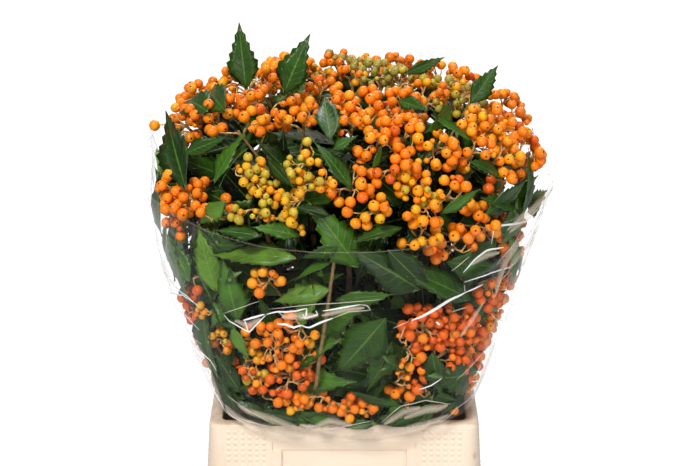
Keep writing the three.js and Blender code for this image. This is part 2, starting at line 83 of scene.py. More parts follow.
# Bucket
# A square flower-trade bucket of cream polypropylene, injection moulded in one: a tapering body, and a
# collar that flares out round the mouth, with a railed label panel and two pimpled patches a side.
RIM = 300.0
COLLAR_FOOT = 222.0
UP_THE_BODY = [  # half width, corner radius and height, from the foot up to the collar and round its hem
    (109.5, 22.5, 0.0), (111.6, 24.0, 0.5), (112.5, 24.5, 2.0), (118.0, 21.0, 80.0), (124.0, 16.5, 160.0),
    (128.6, 13.0, 226.0), (133.0, 9.8, 290.0), (134.5, 9.6, 293.0), (139.0, 8.5, 294.0),
    (141.0, 8.5, 292.0), (145.6, 20.0, 224.5), (146.2, 21.4, 222.4), (147.6, 23.0, 222.0),
    (149.2, 24.4, 222.3), (149.9, 24.9, 223.6),
]
COLLAR_HEIGHTS = (  # of the points up its face, most of them at the panel's edges
    226.0, 233.8, 234.2, 269.2, 269.6, 270.4, 270.8, 279.6, 280.0, 280.4, 294.8, 295.4
)
OVER_THE_RIM = [  # the same, over the rim and down the inside
    (144.7, 11.8, 297.2), (143.6, 11.2, 299.2), (142.0, 10.4, 300.0), (133.6, 8.2, 300.0),
    (131.9, 7.6, 299.3), (131.0, 7.2, 297.6), (130.6, 7.2, 290.0), (124.0, 11.0, 200.0),
    (115.0, 18.0, 70.0), (110.3, 22.0, 7.0), (109.2, 21.8, 4.0), (107.0, 21.0, 3.0),
]
COLLAR = {"half": 145.0, "corner": 11.5}  # at the rim
COLLAR_SPREAD = {"half": 5.0, "corner": 13.5}  # how much more at its foot
FACE_SUNK = 0.5  # the flat of the collar's face behind its corners
PANEL = {"top": 280.0, "head": 270.4, "foot": 234.0, "deep": 2.4}
HEAD_SLOPE = (0.3, 1.2)  # how deep the panel's head is at its top and its foot
RAIL = {"inner": 67.3, "outer": 77.3, "foot": 82.0, "stand": 1.5}  # its flat top, and its slope's foot
COLLAR_PLACES = (82.4, 81.6, 77.6, 77.0, 67.6, 67.0)  # of the points across its face, from the middle
PIMPLE_RINGS = [(2.6, 0.0), (2.3, 0.3), (1.75, 0.65), (1.0, 0.98), (0.4, 1.1)]  # half width and height
PIMPLE_SUNK = 0.1  # its foot behind the collar's face
PIMPLES_FROM = (86.3, 8.8)  # the first: from the middle of the face, and below the rim
PIMPLE_PITCH = (7.6, 6.4)
PIMPLES = (6, 10)  # across and down in each patch


def linear(hexadecimal):
    """A colour from its sRGB hex value."""
    parts = [int(hexadecimal[i : i + 2], 16) / 255 for i in (1, 3, 5)]
    return tuple(c / 12.92 if c <= 0.04045 else ((c + 0.055) / 1.055) ** 2.4 for c in parts) + (1.0,)


def node(tree, kind, settings=None, **links):
    """Adds a node: settings are its properties and input values, links its inputs from sockets."""
    made = tree.nodes.new(kind)
    for name, value in (settings or {}).items():
        if isinstance(name, int) or name in made.inputs:
            made.inputs[name].default_value = value
        else:
            setattr(made, name, value)
    for name, source in links.items():
        place = made.inputs[int(name[1:])] if name[1:].isdigit() else made.inputs[name.replace("_", " ")]
        tree.links.new(source, place)
    return made


def ramp(tree, source, *stops):
    """A colour ramp over the source with (place, colour) stops."""
    made = node(tree, "ShaderNodeValToRGB", {}, Fac=source)
    while len(made.color_ramp.elements) < len(stops):
        made.color_ramp.elements.new(0.5)
    for element, (place, colour) in zip(made.color_ramp.elements, stops):
        element.position = place
        element.color = colour if isinstance(colour, tuple) else (colour, colour, colour, 1)
    return made.outputs["Color"]


def worked(tree, operation, *values):
    """A maths node's result. Each value is a number or a socket."""
    made = node(tree, "ShaderNodeMath", {"operation": operation})
    for place, value in enumerate(values):
        if isinstance(value, float):
            made.inputs[place].default_value = value
        else:
            tree.links.new(value, made.inputs[place])
    return made.outputs[0]


def noise(tree, place, size, detail, **more):
    """The value of a noise pattern of that size in mm."""
    settings = {"Scale": 1000 / size, "Detail": detail, **more}
    return node(tree, "ShaderNodeTexNoise", settings, Vector=place).outputs["Fac"]


def mixed(tree, share, under, colour):
    """The colour laid over what is under it, by a share."""
    settings = {"data_type": "RGBA", 7: linear(colour) if isinstance(colour, str) else colour}
    return node(tree, "ShaderNodeMix", settings, _0=share, _6=under).outputs[2]


def bumped(tree, shader, height, strength, depth, **more):
    """Gives the shader a bump of that depth in mm, and returns its normal."""
    settings = {"Strength": strength, "Distance": depth / 1000, **more}
    made = node(tree, "ShaderNodeBump", settings, Height=height)
    tree.links.new(made.outputs[0], shader.inputs["Normal"])
    return made.outputs[0]


def finish_of(name, **sockets):
    """A new material with its node tree and its Principled shader, which has these socket values."""
    material = bpy.data.materials.new(name)
    material.use_nodes = True
    shader = material.node_tree.nodes["Principled BSDF"]
    for socket, value in sockets.items():
        shader.inputs[socket.replace("_", " ")].default_value = value
    return material, material.node_tree, shader


def relief(across, height):
    """How far the collar's face stands out there, between its corners: the panel and its rails."""
    in_head = height > PANEL["head"] - 0.1
    down = min(1, (PANEL["top"] - height) / (PANEL["top"] - PANEL["head"]))
    if not PANEL["foot"] < height < PANEL["top"]:
        stand = 0
    elif in_head and across < RAIL["outer"]:
        stand = -HEAD_SLOPE[0] - (HEAD_SLOPE[1] - HEAD_SLOPE[0]) * down
    elif across < RAIL["inner"]:
        stand = -PANEL["deep"]
    else:
        slope = max(0, min(1, (RAIL["foot"] - across) / (RAIL["foot"] - RAIL["outer"])))
        stand = RAIL["stand"] * slope * down
    return stand - FACE_SUNK


def outline(half, corner, height, face=False):
    """Once round a rounded square; face is for the rows of the collar's outer face."""
    flat = half - corner
    right = [flat, flat - 0.6, *COLLAR_PLACES]
    side = []
    for across in [-x for x in right] + right[::-1]:
        stand = relief(abs(across), height) if face and abs(across) < flat else 0
        side.append(Vector((across, -half - stand)))
    for step in range(1, 6):
        turn = math.radians(15 * step)
        side.append(Vector((flat + corner * math.sin(turn), -flat - corner * math.cos(turn))))
    points = []
    for quarter in range(4):
        points += [Matrix.Rotation(quarter * math.pi / 2, 2) @ p for p in side]
    return [Vector((p.x, p.y, height)) for p in points]


def draw_out(bm, edges, before, after):
    """Extrudes a ring of edges, and moves each new point from its place in before to that in after."""
    made = bmesh.ops.extrude_edge_only(bm, edges=edges)["geom"]
    points = {g for g in made if isinstance(g, bmesh.types.BMVert)}
    place = {tuple(round(c, 3) for c in p): q for p, q in zip(before, after)}
    for v in points:
        v.co = place[tuple(round(c, 3) for c in v.co)]
    return [g for g in made if isinstance(g, bmesh.types.BMEdge) and set(g.verts) <= points]


def drawn_through(rows):
    """A closed shape through rings of points, all with the same number."""
    bm = bmesh.new()
    ring = bmesh.ops.create_circle(bm, segments=len(rows[0]), radius=1)["verts"]
    for v, place in zip(ring, rows[0]):
        v.co = place
    first = edges = bm.edges[:]
    for before, after in zip(rows, rows[1:]):
        edges = draw_out(bm, edges, before, after)
    bmesh.ops.edgeloop_fill(bm, edges=first)
    bmesh.ops.edgeloop_fill(bm, edges=edges)
    bmesh.ops.recalc_face_normals(bm, faces=bm.faces)
    return bm


def to_object(name, bm, materials, smooth_angle=None):
    """The finished piece: its mesh is brought to metres, shaded and given its materials."""
    bmesh.ops.scale(bm, vec=(0.001, 0.001, 0.001), verts=bm.verts)
    mesh = bpy.data.meshes.new(name)
    bm.to_mesh(mesh)
    bm.free()
    for material in materials:
        mesh.materials.append(material)
    mesh.shade_smooth()
    if smooth_angle:
        mesh.set_sharp_from_angle(angle=math.radians(smooth_angle))
    piece = bpy.data.objects.new(name, mesh)
    bpy.context.scene.collection.objects.link(piece)
    return piece


collar_rows = []
for height in COLLAR_HEIGHTS:
    share = (RIM - height) / (RIM - COLLAR_FOOT)
    half, corner = (COLLAR[size] + COLLAR_SPREAD[size] * share for size in ("half", "corner"))
    collar_rows.append(outline(half, corner, height, True))
rows = [outline(*row) for row in UP_THE_BODY] + collar_rows + [outline(*row) for row in OVER_THE_RIM]
bm = drawn_through(rows)

# Moulded polypropylene, cream: soft gloss, a very fine grain, grime on the rim and a few brown scuffs.
polypropylene, tree, shader = finish_of("moulded_polypropylene", Roughness=0.42, IOR=1.49)
place = node(tree, "ShaderNodeTexCoord").outputs["Object"]
cream = ramp(tree, noise(tree, place, 60, 4.0), (0.3, linear("#F0D8BF")), (0.7, linear("#F5E1CA")))
height = node(tree, "ShaderNodeSeparateXYZ", {}, Vector=place).outputs["Z"]
rim_span = {"From Min": 0.2955, "From Max": 0.3002, "To Max": 0.55}
near_rim = node(tree, "ShaderNodeMapRange", rim_span, Value=height).outputs["Result"]
smear = noise(tree, place, 12, 6.0, Roughness=0.7)
grime = worked(tree, "MULTIPLY", near_rim, ramp(tree, smear, (0.42, 0.0), (0.62, 1.0)))
soiled = mixed(tree, grime, cream, "#CDAE8C")
slant = {"Scale": (1.0, 1.0, 2.2), "Rotation": (0.5, 0.6, 0.3)}
stretched = node(tree, "ShaderNodeMapping", slant, Vector=place).outputs[0]
scuffs = ramp(tree, noise(tree, stretched, 9, 7.0, Roughness=0.62), (0.685, 0.0), (0.73, 0.8))
knock_at = {"operation": "DISTANCE", 1: (0.142, -0.145, 0.261)}
knock = node(tree, "ShaderNodeVectorMath", knock_at, _0=place).outputs["Value"]
bruise = ramp(tree, worked(tree, "MULTIPLY_ADD", smear, 0.02, knock), (0.0125, 0.45), (0.0155, 0.0))
marked = mixed(tree, worked(tree, "MAXIMUM", scuffs, bruise), soiled, "#B98F63")
tree.links.new(marked, shader.inputs["Base Color"])
bumped(tree, shader, noise(tree, place, 1.2, 2.0), 0.25, 0.1)

bucket = to_object("flower_bucket", bm, [polypropylene], 32)
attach(bucket, "root")
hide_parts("bucket")


def joined(name, parts, materials):
    """One mesh of many small ones, each (points, faces, material of each face), as smooth surfaces."""
    points, faces, kinds, start = [], [], [], 0
    for shape, corners, kind in parts:
        points.append(shape)
        faces += [[start + c for c in face] for face in corners]
        kinds += kind
        start += len(shape)
    mesh = bpy.data.meshes.new(name)
    mesh.from_pydata((np.concatenate(points) / 1000).tolist(), [], faces)
    for material in materials:
        mesh.materials.append(material)
    mesh.polygons.foreach_set("material_index", kinds)
    mesh.shade_smooth()
    piece = bpy.data.objects.new(name, mesh)
    bpy.context.scene.collection.objects.link(piece)
    return piece


def arrays(bm):
    """A small shape's points and faces as arrays, for joining many copies."""
    bm.verts.index_update()
    points = np.array([v.co for v in bm.verts])
    faces = [[v.index for v in face.verts] for face in bm.faces]
    bm.free()
    return points, faces


turns = [math.radians(36 * step) for step in range(10)]
rings = []
for half, up in PIMPLE_RINGS:
    rings.append([Vector((half * math.cos(turn), half * math.sin(turn), up)) for turn in turns])
pimple, pimple_faces = arrays(drawn_through(rings))
pimples = []
lean = math.atan(COLLAR_SPREAD["half"] / (RIM - COLLAR_FOOT))
for row in range(PIMPLES[1]):
    drop = PIMPLES_FROM[1] + row * PIMPLE_PITCH[1]
    out = COLLAR["half"] + drop * math.tan(lean) - FACE_SUNK - PIMPLE_SUNK
    for column in range(PIMPLES[0]):
        along = PIMPLES_FROM[0] + column * PIMPLE_PITCH[0]
        for side in (-1, 1):
            stand = Matrix.Translation((side * along, -out, RIM - drop))
            stand = stand @ Matrix.Rotation(math.pi / 2 - lean, 4, "X")
            for quarter in range(4):
                turn = np.array(Matrix.Rotation(quarter * math.pi / 2, 4, "Z") @ stand)
                placed = pimple @ turn[:3, :3].T + turn[:3, 3]
                pimples.append((placed, pimple_faces, [0] * len(pimple_faces)))
pimpled = joined("collar_pimples", pimples, [polypropylene])
pimpled.data.set_sharp_from_angle(angle=math.radians(60))
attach(pimpled, "root")

# Stems
# Twelve cut stems of two-year wood, which stand on the bucket's floor, draw together at its mouth and
# spread to the crown. The bark is thin, grey-brown and ringed at the old leaf joints.
CROWN_HALF = 232.0
CROWN_DEPTH = 0.91  # its depth as a share of its width
CROWN_SHOULDER = 222.0  # its edge over the bucket's rim
CROWN_RISE = 128.0  # its middle over its edge
STEMS = 12
STEM_HEAD_SPREAD = 186.0  # how far from the middle the outermost stem's share of the crown lies
STEM_SPREADS = {"foot": 66.0, "mouth": 92.0, "tip": 156.0}  # how far that stem is there
STEM_FOOT = 3.3  # a little over the bucket's floor
STEM_RADII = (4.6, 2.6)
STEM_SHORT = 128.0  # how far a stem ends below the top of the crown
GOLDEN_ANGLE = math.pi * (3 - math.sqrt(5))


def seeded(seed):
    """Numbers from 0 to 1 that are the same on every run."""
    state = 7919 * seed + 104729

    def draw():
        nonlocal state
        state = state * 16807 % 2147483647
        return state / 2147483647

    return draw


def sunflower(index, count, spread):
    """One of a count of places spread evenly over the crown's oval."""
    radius, angle = spread * math.sqrt((index + 0.5) / count), index * GOLDEN_ANGLE
    return Vector((radius * math.cos(angle), radius * math.sin(angle) * CROWN_DEPTH, 0))


def dome_height(x, y):
    """How high the crown's surface is there."""
    share = np.hypot(x, y / CROWN_DEPTH) / CROWN_HALF
    return RIM + CROWN_SHOULDER + CROWN_RISE * np.sqrt(np.maximum(0, 1 - share**4))


def spline(points, count):
    """Points evenly along the smooth curve through three given ones."""
    p = [2 * points[0] - points[1], *points, 2 * points[2] - points[1]]
    line = []
    for i in (1, 2):
        before, here, after = (math.sqrt((p[i + k] - p[i + k - 1]).length) for k in (0, 1, 2))
        level = (p[i + 1] - p[i]) / here
        near = (p[i] - p[i - 1]) / before - (p[i + 1] - p[i - 1]) / (before + here) + level
        far = level - (p[i + 2] - p[i]) / (here + after) + (p[i + 2] - p[i + 1]) / after
        near, far = near * here, far * here
        for step in range(60 if i == 1 else 61):
            t = step / 60
            bend = (-3 * p[i] + 3 * p[i + 1] - 2 * near - far) * t * t
            line.append(p[i] + near * t + bend + (2 * p[i] - 2 * p[i + 1] + near + far) * t**3)
    return evenly(line, count)


def evenly(line, count):
    """The line laid out again with its points evenly spaced."""
    line = np.array(line, float)
    run = np.concatenate([[0], np.cumsum(np.linalg.norm(np.diff(line, axis=0), axis=1))])
    marks = np.linspace(0, run[-1], count)
    return np.stack([np.interp(marks, run, line[:, k]) for k in range(3)], axis=1)


def rod(line, radii, sides):
    """A round rod along a line: its points and faces, closed at both ends."""
    line, rings = np.asarray(line, float), []
    ways = np.gradient(line, axis=0)
    upright = abs(ways[0][2]) >= 0.9 * np.linalg.norm(ways[0])
    side = np.array([1.0, 0, 0]) if upright else np.array([0, 0, 1.0])
    for at, way, radius in zip(line, ways, radii):
        way = way / np.linalg.norm(way)
        side = side - way * (side @ way)
        side /= np.linalg.norm(side)
        over = np.cross(way, side)
        turn = np.arange(sides) * 2 * math.pi / sides
        rings.append(at + np.outer(np.cos(turn) * radius, side) + np.outer(np.sin(turn) * radius, over))
    faces = []
    for i in range(len(line) - 1):
        a, b = i * sides, (i + 1) * sides
        faces += [[a + j, a + (j + 1) % sides, b + (j + 1) % sides, b + j] for j in range(sides)]
    faces.append(list(range(sides))[::-1])
    faces.append([(len(line) - 1) * sides + j for j in range(sides)])
    return np.concatenate(rings), faces


def rods(name, limbs, sides, material):
    """One mesh of round rods, each given as its line and its radii."""
    parts = []
    for line, radii in limbs:
        shape, faces = rod(line, radii, sides)
        parts.append((shape, faces, [0] * len(faces)))
    return joined(name, parts, [material])


def bark_radii(start, end, count, random):
    """A tapering limb's radii, swollen at its leaf joints and a little uneven between them."""
    radii, joint = [], 3 + int(4 * random())
    for i in range(count):
        radius = start + (end - start) * i / (count - 1)
        if i == joint:
            radius *= 1.1 + 0.06 * random()
            joint += 3 + int(4 * random())
        radii.append(radius * (0.98 + 0.05 * random()))
    return radii


heads = [sunflower(i, STEMS, STEM_HEAD_SPREAD) for i in range(STEMS)]
stem_lines = []
for head in heads:
    levels = {"foot": STEM_FOOT, "mouth": RIM, "tip": float(dome_height(head.x, head.y)) - STEM_SHORT}
    bends = []
    for place, spread in STEM_SPREADS.items():
        bends.append(Vector((*(head.xy * spread / STEM_HEAD_SPREAD), levels[place])))
    stem_lines.append(spline(bends, 90))
stem_limbs = []
for i, line in enumerate(stem_lines):
    stem_limbs.append((line, bark_radii(*STEM_RADII, len(line), seeded(500 + i))))

# Young bark: thin, matt to satin, grey-brown with pale corky flecks and fine cracks along the stem.
bark, tree, shader = finish_of("young_bark", Roughness=0.72)
place = node(tree, "ShaderNodeTexCoord").outputs["Object"]
flow = node(tree, "ShaderNodeMapping", {"Scale": (1.0, 1.0, 0.22)}, Vector=place).outputs[0]
fleck = noise(tree, flow, 2.2, 5.0, Roughness=0.65)
browns = (0.3, linear("#4A3622")), (0.5, linear("#7A5C38")), (0.72, linear("#A98E66"))
tree.links.new(ramp(tree, fleck, *browns), shader.inputs["Base Color"])
bumped(tree, shader, fleck, 0.7, 0.6)

stems = rods("cut_stems", stem_limbs, 10, bark)
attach(stems, "root")
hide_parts(*[f"stem_{i + 1}" for i in range(STEMS)])

# Boughs
# Eight side branches of the same wood, each from the nearest stem. They turn out over the bucket's
# mouth and carry the low shoots.
SHOOTS = 8
BOUGH_TIP = {"out": 104.0, "up": 20.0}  # from the middle, and over the rim
BOUGH_RADII = (2.6, 1.9)
LEADER_GAP = 0.35  # between a limb and the twig that carries it on


def bezier(points, count):
    """Points evenly along the Bezier curve of three or four given ones."""
    line = []
    for t in np.linspace(0, 1, 24):
        level = [np.array(p, float) for p in points]
        while len(level) > 1:
            level = [a * (1 - t) + b * t for a, b in zip(level, level[1:])]
        line.append(level[0])
    return evenly(line, count)


bough_lines, bough_limbs = [], []
starts = [evenly(line, 181)[90] for line in stem_lines]
for i in range(SHOOTS):
    angle = (i + 0.5) / SHOOTS * 2 * math.pi
    out = BOUGH_TIP["out"]
    tip = np.array([out * math.cos(angle), out * math.sin(angle), RIM + BOUGH_TIP["up"]])
    start = min(starts, key=lambda p: np.linalg.norm(p - tip))
    bend = start + (tip - start) * 0.45 + np.array([0, 0, 12])
    bough_lines.append(bezier([start, bend, tip], 24))
    bough_limbs.append((bough_lines[-1], bark_radii(*BOUGH_RADII, 24, seeded(600 + i))))
boughs = rods("low_boughs", bough_limbs, 8, bark)
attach(boughs, "root")
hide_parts(*[f"bough_{i + 1}" for i in range(SHOOTS)])

# Sprays
# Each shoot ends in a forked spray of berries. Tan stalks leave the last part of the twig one after
# another, fork, and hold their berries in a dome. The low sprays are pressed flat against the film.
FILM_ROWS = np.array([  # height above the rim, half width, reach to the front and back, squareness, hang
    (-70, 112, 112, 112, 4, 0), (-4, 124, 124, 124, 5, 0), (1, 125, 128, 125, 5, 0),
    (1.4, 126, 147, 126, 5, 0), (6, 139, 158, 129, 5, 18), (14, 146, 170, 135, 4.6, 0),
    (55, 165, 181, 158, 3.4, 0), (120, 191, 193, 182, 2.6, 0), (180, 211, 202, 199, 2.2, 0),
    (225, 224, 208, 210, 2, 0),
])
FILM_BACK_RISE = 55.0
FILM_FULLER = 10.0  # how much further it stands out on the right
LEVEL_STEP = 2.0
BELLY = 4  # the row where it hangs lowest over the rim in front
HANGING = 1.3  # how much of that row's hang it takes, as it is softened afterwards


def film_profile(angle, hanging):
    """The film's line up one side of the bunch: how far out, and how high."""
    up, side, front, back, square, hang = FILM_ROWS.T
    reach = front if math.sin(angle) < 0 else back
    across = (abs(math.cos(angle)) / side) ** square
    along = (abs(math.sin(angle)) / reach) ** square
    share = np.maximum(0, (up - 120) / 105)
    rise = FILM_BACK_RISE * (0.5 + 0.5 * math.sin(angle)) * share
    frontal = max(0, 1 - (math.cos(angle) / 0.6) ** 2) if math.sin(angle) < 0 else 0
    fuller = FILM_FULLER * max(0, math.cos(angle)) ** 2 * np.clip((up - 150) / 75, 0, 1)
    return (across + along) ** (-1 / square) + fuller, RIM + up + rise - hanging * hang * frontal


film_levels = np.arange(RIM - 70, RIM + 290, LEVEL_STEP)
film_reaches = []
for half_degree in range(720):
    outs, ups = film_profile(math.radians(half_degree / 2), 0)
    tucked = np.interp(film_levels, ups[: BELLY + 1], outs[: BELLY + 1])
    outs, ups = film_profile(math.radians(half_degree / 2), HANGING)
    over = np.interp(film_levels, ups[BELLY:], outs[BELLY:])
    reaches = np.where(film_levels < ups[BELLY], tucked, over)
    film_reaches.append(np.where(film_levels > ups[-1], 999.0, reaches))
film_reaches = np.array(film_reaches)


def film_reach(points):
    """How far out the film stands at each point's height and side, or 999 over its edge."""
    points = np.atleast_2d(points)
    turn = (np.degrees(np.arctan2(points[:, 1], points[:, 0])) * 2).astype(int) % 720
    level = np.clip((points[:, 2] - film_levels[0]) / LEVEL_STEP, 0, len(film_levels) - 1.01)
    low = level.astype(int)
    share = level - low
    return film_reaches[turn, low] * (1 - share) + film_reaches[turn, low + 1] * share


def film_wall(angle, level, inset, most=999.0):
    """The place that far in from the film at an angle round the bunch, and at most so far out."""
    way = np.array([math.cos(angle), math.sin(angle), level])
    out = min(film_reach(way)[0], most) - inset
    return Vector((out * way[0], out * way[1], level))


def on_rim(points, clearance):
    """Whether each point is in the bucket's rim, or nearer to it than the clearance."""
    aside = np.abs(points[:, :2]).max(axis=1)
    return (points[:, 2] < RIM + 1.5 + clearance) & (aside > 122 - clearance) & (aside < 151 + clearance)


def inside_bunch(points, clearance, over, beyond=3.0):
    """Whether each point is clear inside the film, and over its edge inside the crown's dome."""
    points = np.atleast_2d(points)
    radius = np.hypot(points[:, 0], points[:, 1])
    wide = np.hypot(points[:, 0], points[:, 1] / CROWN_DEPTH)
    in_film = radius < film_reach(points) - clearance
    most = CROWN_HALF + beyond + FILM_FULLER * (points[:, 0] > 0)
    in_dome = (wide < most) & (points[:, 2] < dome_height(points[:, 0], points[:, 1]) + over)
    return in_film & in_dome & ~on_rim(points, clearance)


def on_bunch(across, down):
    """The place on the bunch's surface that shows at that point of the picture."""
    way = np.array(sight(across, down))
    marks = np.array(EYE) + np.outer(np.arange(1750, 2450, 2.0), way)
    inside = inside_bunch(marks, 3, 0) & (marks[:, 2] > RIM - 14)
    if inside.any():
        return marks[inside.argmax()]
    over = marks[:, 2] - dome_height(marks[:, 0], marks[:, 1])
    return marks[over.argmin()]


# The sprays that show in the picture: across and down in it, reach in mm, berries, tone.
SPRAYS_SEEN = [
    (262, 84, 38, 30, "orange"), (228, 116, 32, 15, "orange"), (300, 104, 30, 20, "orange"),
    (318, 74, 30, 30, "orange"), (352, 60, 24, 24, "turning"), (382, 62, 26, 26, "olive"),
    (334, 96, 30, 32, "orange"), (372, 90, 32, 36, "orange"), (404, 92, 30, 32, "orange"),
    (432, 82, 26, 22, "turning"), (462, 79, 26, 22, "olive"), (352, 112, 26, 22, "orange"),
    (480, 110, 30, 28, "light"), (512, 116, 32, 32, "light"), (541, 146, 32, 30, "orange"),
    (517, 150, 30, 26, "light"), (488, 142, 26, 20, "light"), (381, 130, 28, 26, "orange"),
    (412, 122, 26, 22, "orange"), (448, 136, 28, 24, "light"), (398, 160, 26, 24, "orange"),
    (424, 178, 28, 32, "amber"), (430, 202, 28, 32, "light"), (460, 192, 26, 24, "orange"),
    (352, 182, 26, 22, "orange"), (374, 208, 22, 16, "light"), (236, 168, 26, 26, "lime"),
    (250, 206, 32, 36, "lime"), (276, 214, 28, 30, "amber"), (304, 152, 26, 20, "lime"),
    (322, 176, 26, 20, "amber"), (297, 192, 24, 16, "lime"), (170, 200, 32, 36, "orange"),
    (190, 236, 28, 30, "orange"), (160, 182, 24, 18, "orange"), (162, 212, 24, 24, "orange"),
    (206, 214, 22, 18, "orange"), (428, 236, 26, 28, "light"),
    (466, 244, 26, 14, "orange"), (492, 222, 24, 20, "orange"), (500, 242, 20, 16, "orange"),
    (516, 186, 24, 14, "deep"),
    (262, 282, 20, 12, "light"), (432, 330, 28, 36, "deep"), (462, 322, 28, 38, "deep"),
    (478, 348, 24, 30, "deep"), (444, 362, 28, 34, "deep"), (414, 352, 24, 20, "orange"),
    (236, 366, 28, 26, "amber"), (272, 350, 28, 30, "orange"), (296, 332, 24, 22, "light"),
    (284, 380, 28, 28, "deep"), (314, 396, 26, 24, "orange"), (344, 408, 24, 20, "orange"),
    (214, 340, 22, 16, "amber"), (252, 396, 26, 22, "orange"), (376, 404, 24, 20, "orange"),
    (410, 408, 26, 22, "orange"), (436, 396, 22, 18, "deep"), (462, 384, 22, 18, "deep"),
    (400, 386, 22, 14, "orange"), (300, 362, 22, 18, "deep"), (204, 312, 20, 12, "amber"),
    (366, 56, 22, 24, "olive"), (402, 66, 22, 22, "olive"), (446, 75, 22, 22, "olive"),
    (478, 88, 18, 14, "olive"), (232, 342, 20, 14, "orange"), (250, 376, 22, 20, "deep"),
    (446, 340, 22, 24, "deep"), (476, 330, 20, 18, "deep"), (188, 276, 18, 12, "deep"),
    (330, 404, 20, 16, "orange"), (362, 412, 20, 16, "orange"), (300, 410, 20, 16, "amber"),
]
# One woody shoot stands in front of the others, just inside the film: the places that it runs through.
SHOOT_SEEN = [(315, 392), (318, 366), (322, 340), (327, 312), (330, 288), (334, 262)]
SHOOT_RADII = (2.5, 1.7)
TWIG_RADII = (2.1, 1.1)
LEADERS = {"stem": (17, 2.6), "bough": (9, 1.9)}  # length and radius of the twig that carries a limb on
SPRAY_DEEP = {"low": 0.5, "crown": 0.85}  # the depth of a spray as a share of its reach
BERRIES_A_RAY = {"low": 3.5, "crown": 6.8}  # of those that its table asks for
CROWN_SPRAYS = 46  # by the source's rule over the whole crown
CROWN_SPREAD = 212  # how far out the outermost of them stands
APART = {"shown": 62, "hidden": 28, "low": 34}  # how near such a spray comes to those of the picture
CROWN_TONES = ("orange", "orange", "light", "orange", "turning", "orange", "light", "orange")
LOW_BANDS = [(150, 17), (104, 15), (60, 13), (26, 11)]  # height above the rim, sprays round the bunch
LOW_TONES = ("deep", "orange", "deep", "orange", "light")
TONES = {
    "deep": "#E0600C", "orange": "#F07C08", "light": "#F79410",
    "amber": "#E39F12", "lime": "#BFA42C", "olive": "#9A8C38",
}
TONE_NAMES = list(TONES)
MIXES = {  # how the berries of a spray are dealt out, as (share, tone) in order
    "deep": [(0.75, "deep"), (1, "orange")],
    "orange": [(0.74, "orange"), (0.94, "light"), (1, "deep")],
    "light": [(0.6, "light"), (0.92, "orange"), (1, "amber")],
    "amber": [(0.45, "amber"), (0.75, "light"), (1, "lime")],
    "lime": [(0.5, "lime"), (0.9, "amber"), (1, "light")],
    "turning": [(0.5, "orange"), (0.8, "amber"), (1, "olive")],
    "olive": [(0.6, "olive"), (0.85, "lime"), (1, "amber")],
}
CELL = 13.0  # the side of the cells that the berries are kept in, a little over a berry's width
BERRY_RADII = {"small": (2.6, 1.4), "unripe": (4.2, 1.2), "ripe": (5.1, 1.2)}  # least, and added to it
HIDING_BEFORE = 60  # behind the bunch's middle: berries further back hide no leaf that shows
LEAF_KEPT = {"half": 0.235, "from": 0.15, "to": 0.94}  # of a leaf's length: what stays free of berries
LOW_TO = RIM + 205  # the sprays under this height are low ones, pressed to the film
BOUGHS_TO = RIM + 188  # the sprays under this height grow from the boughs
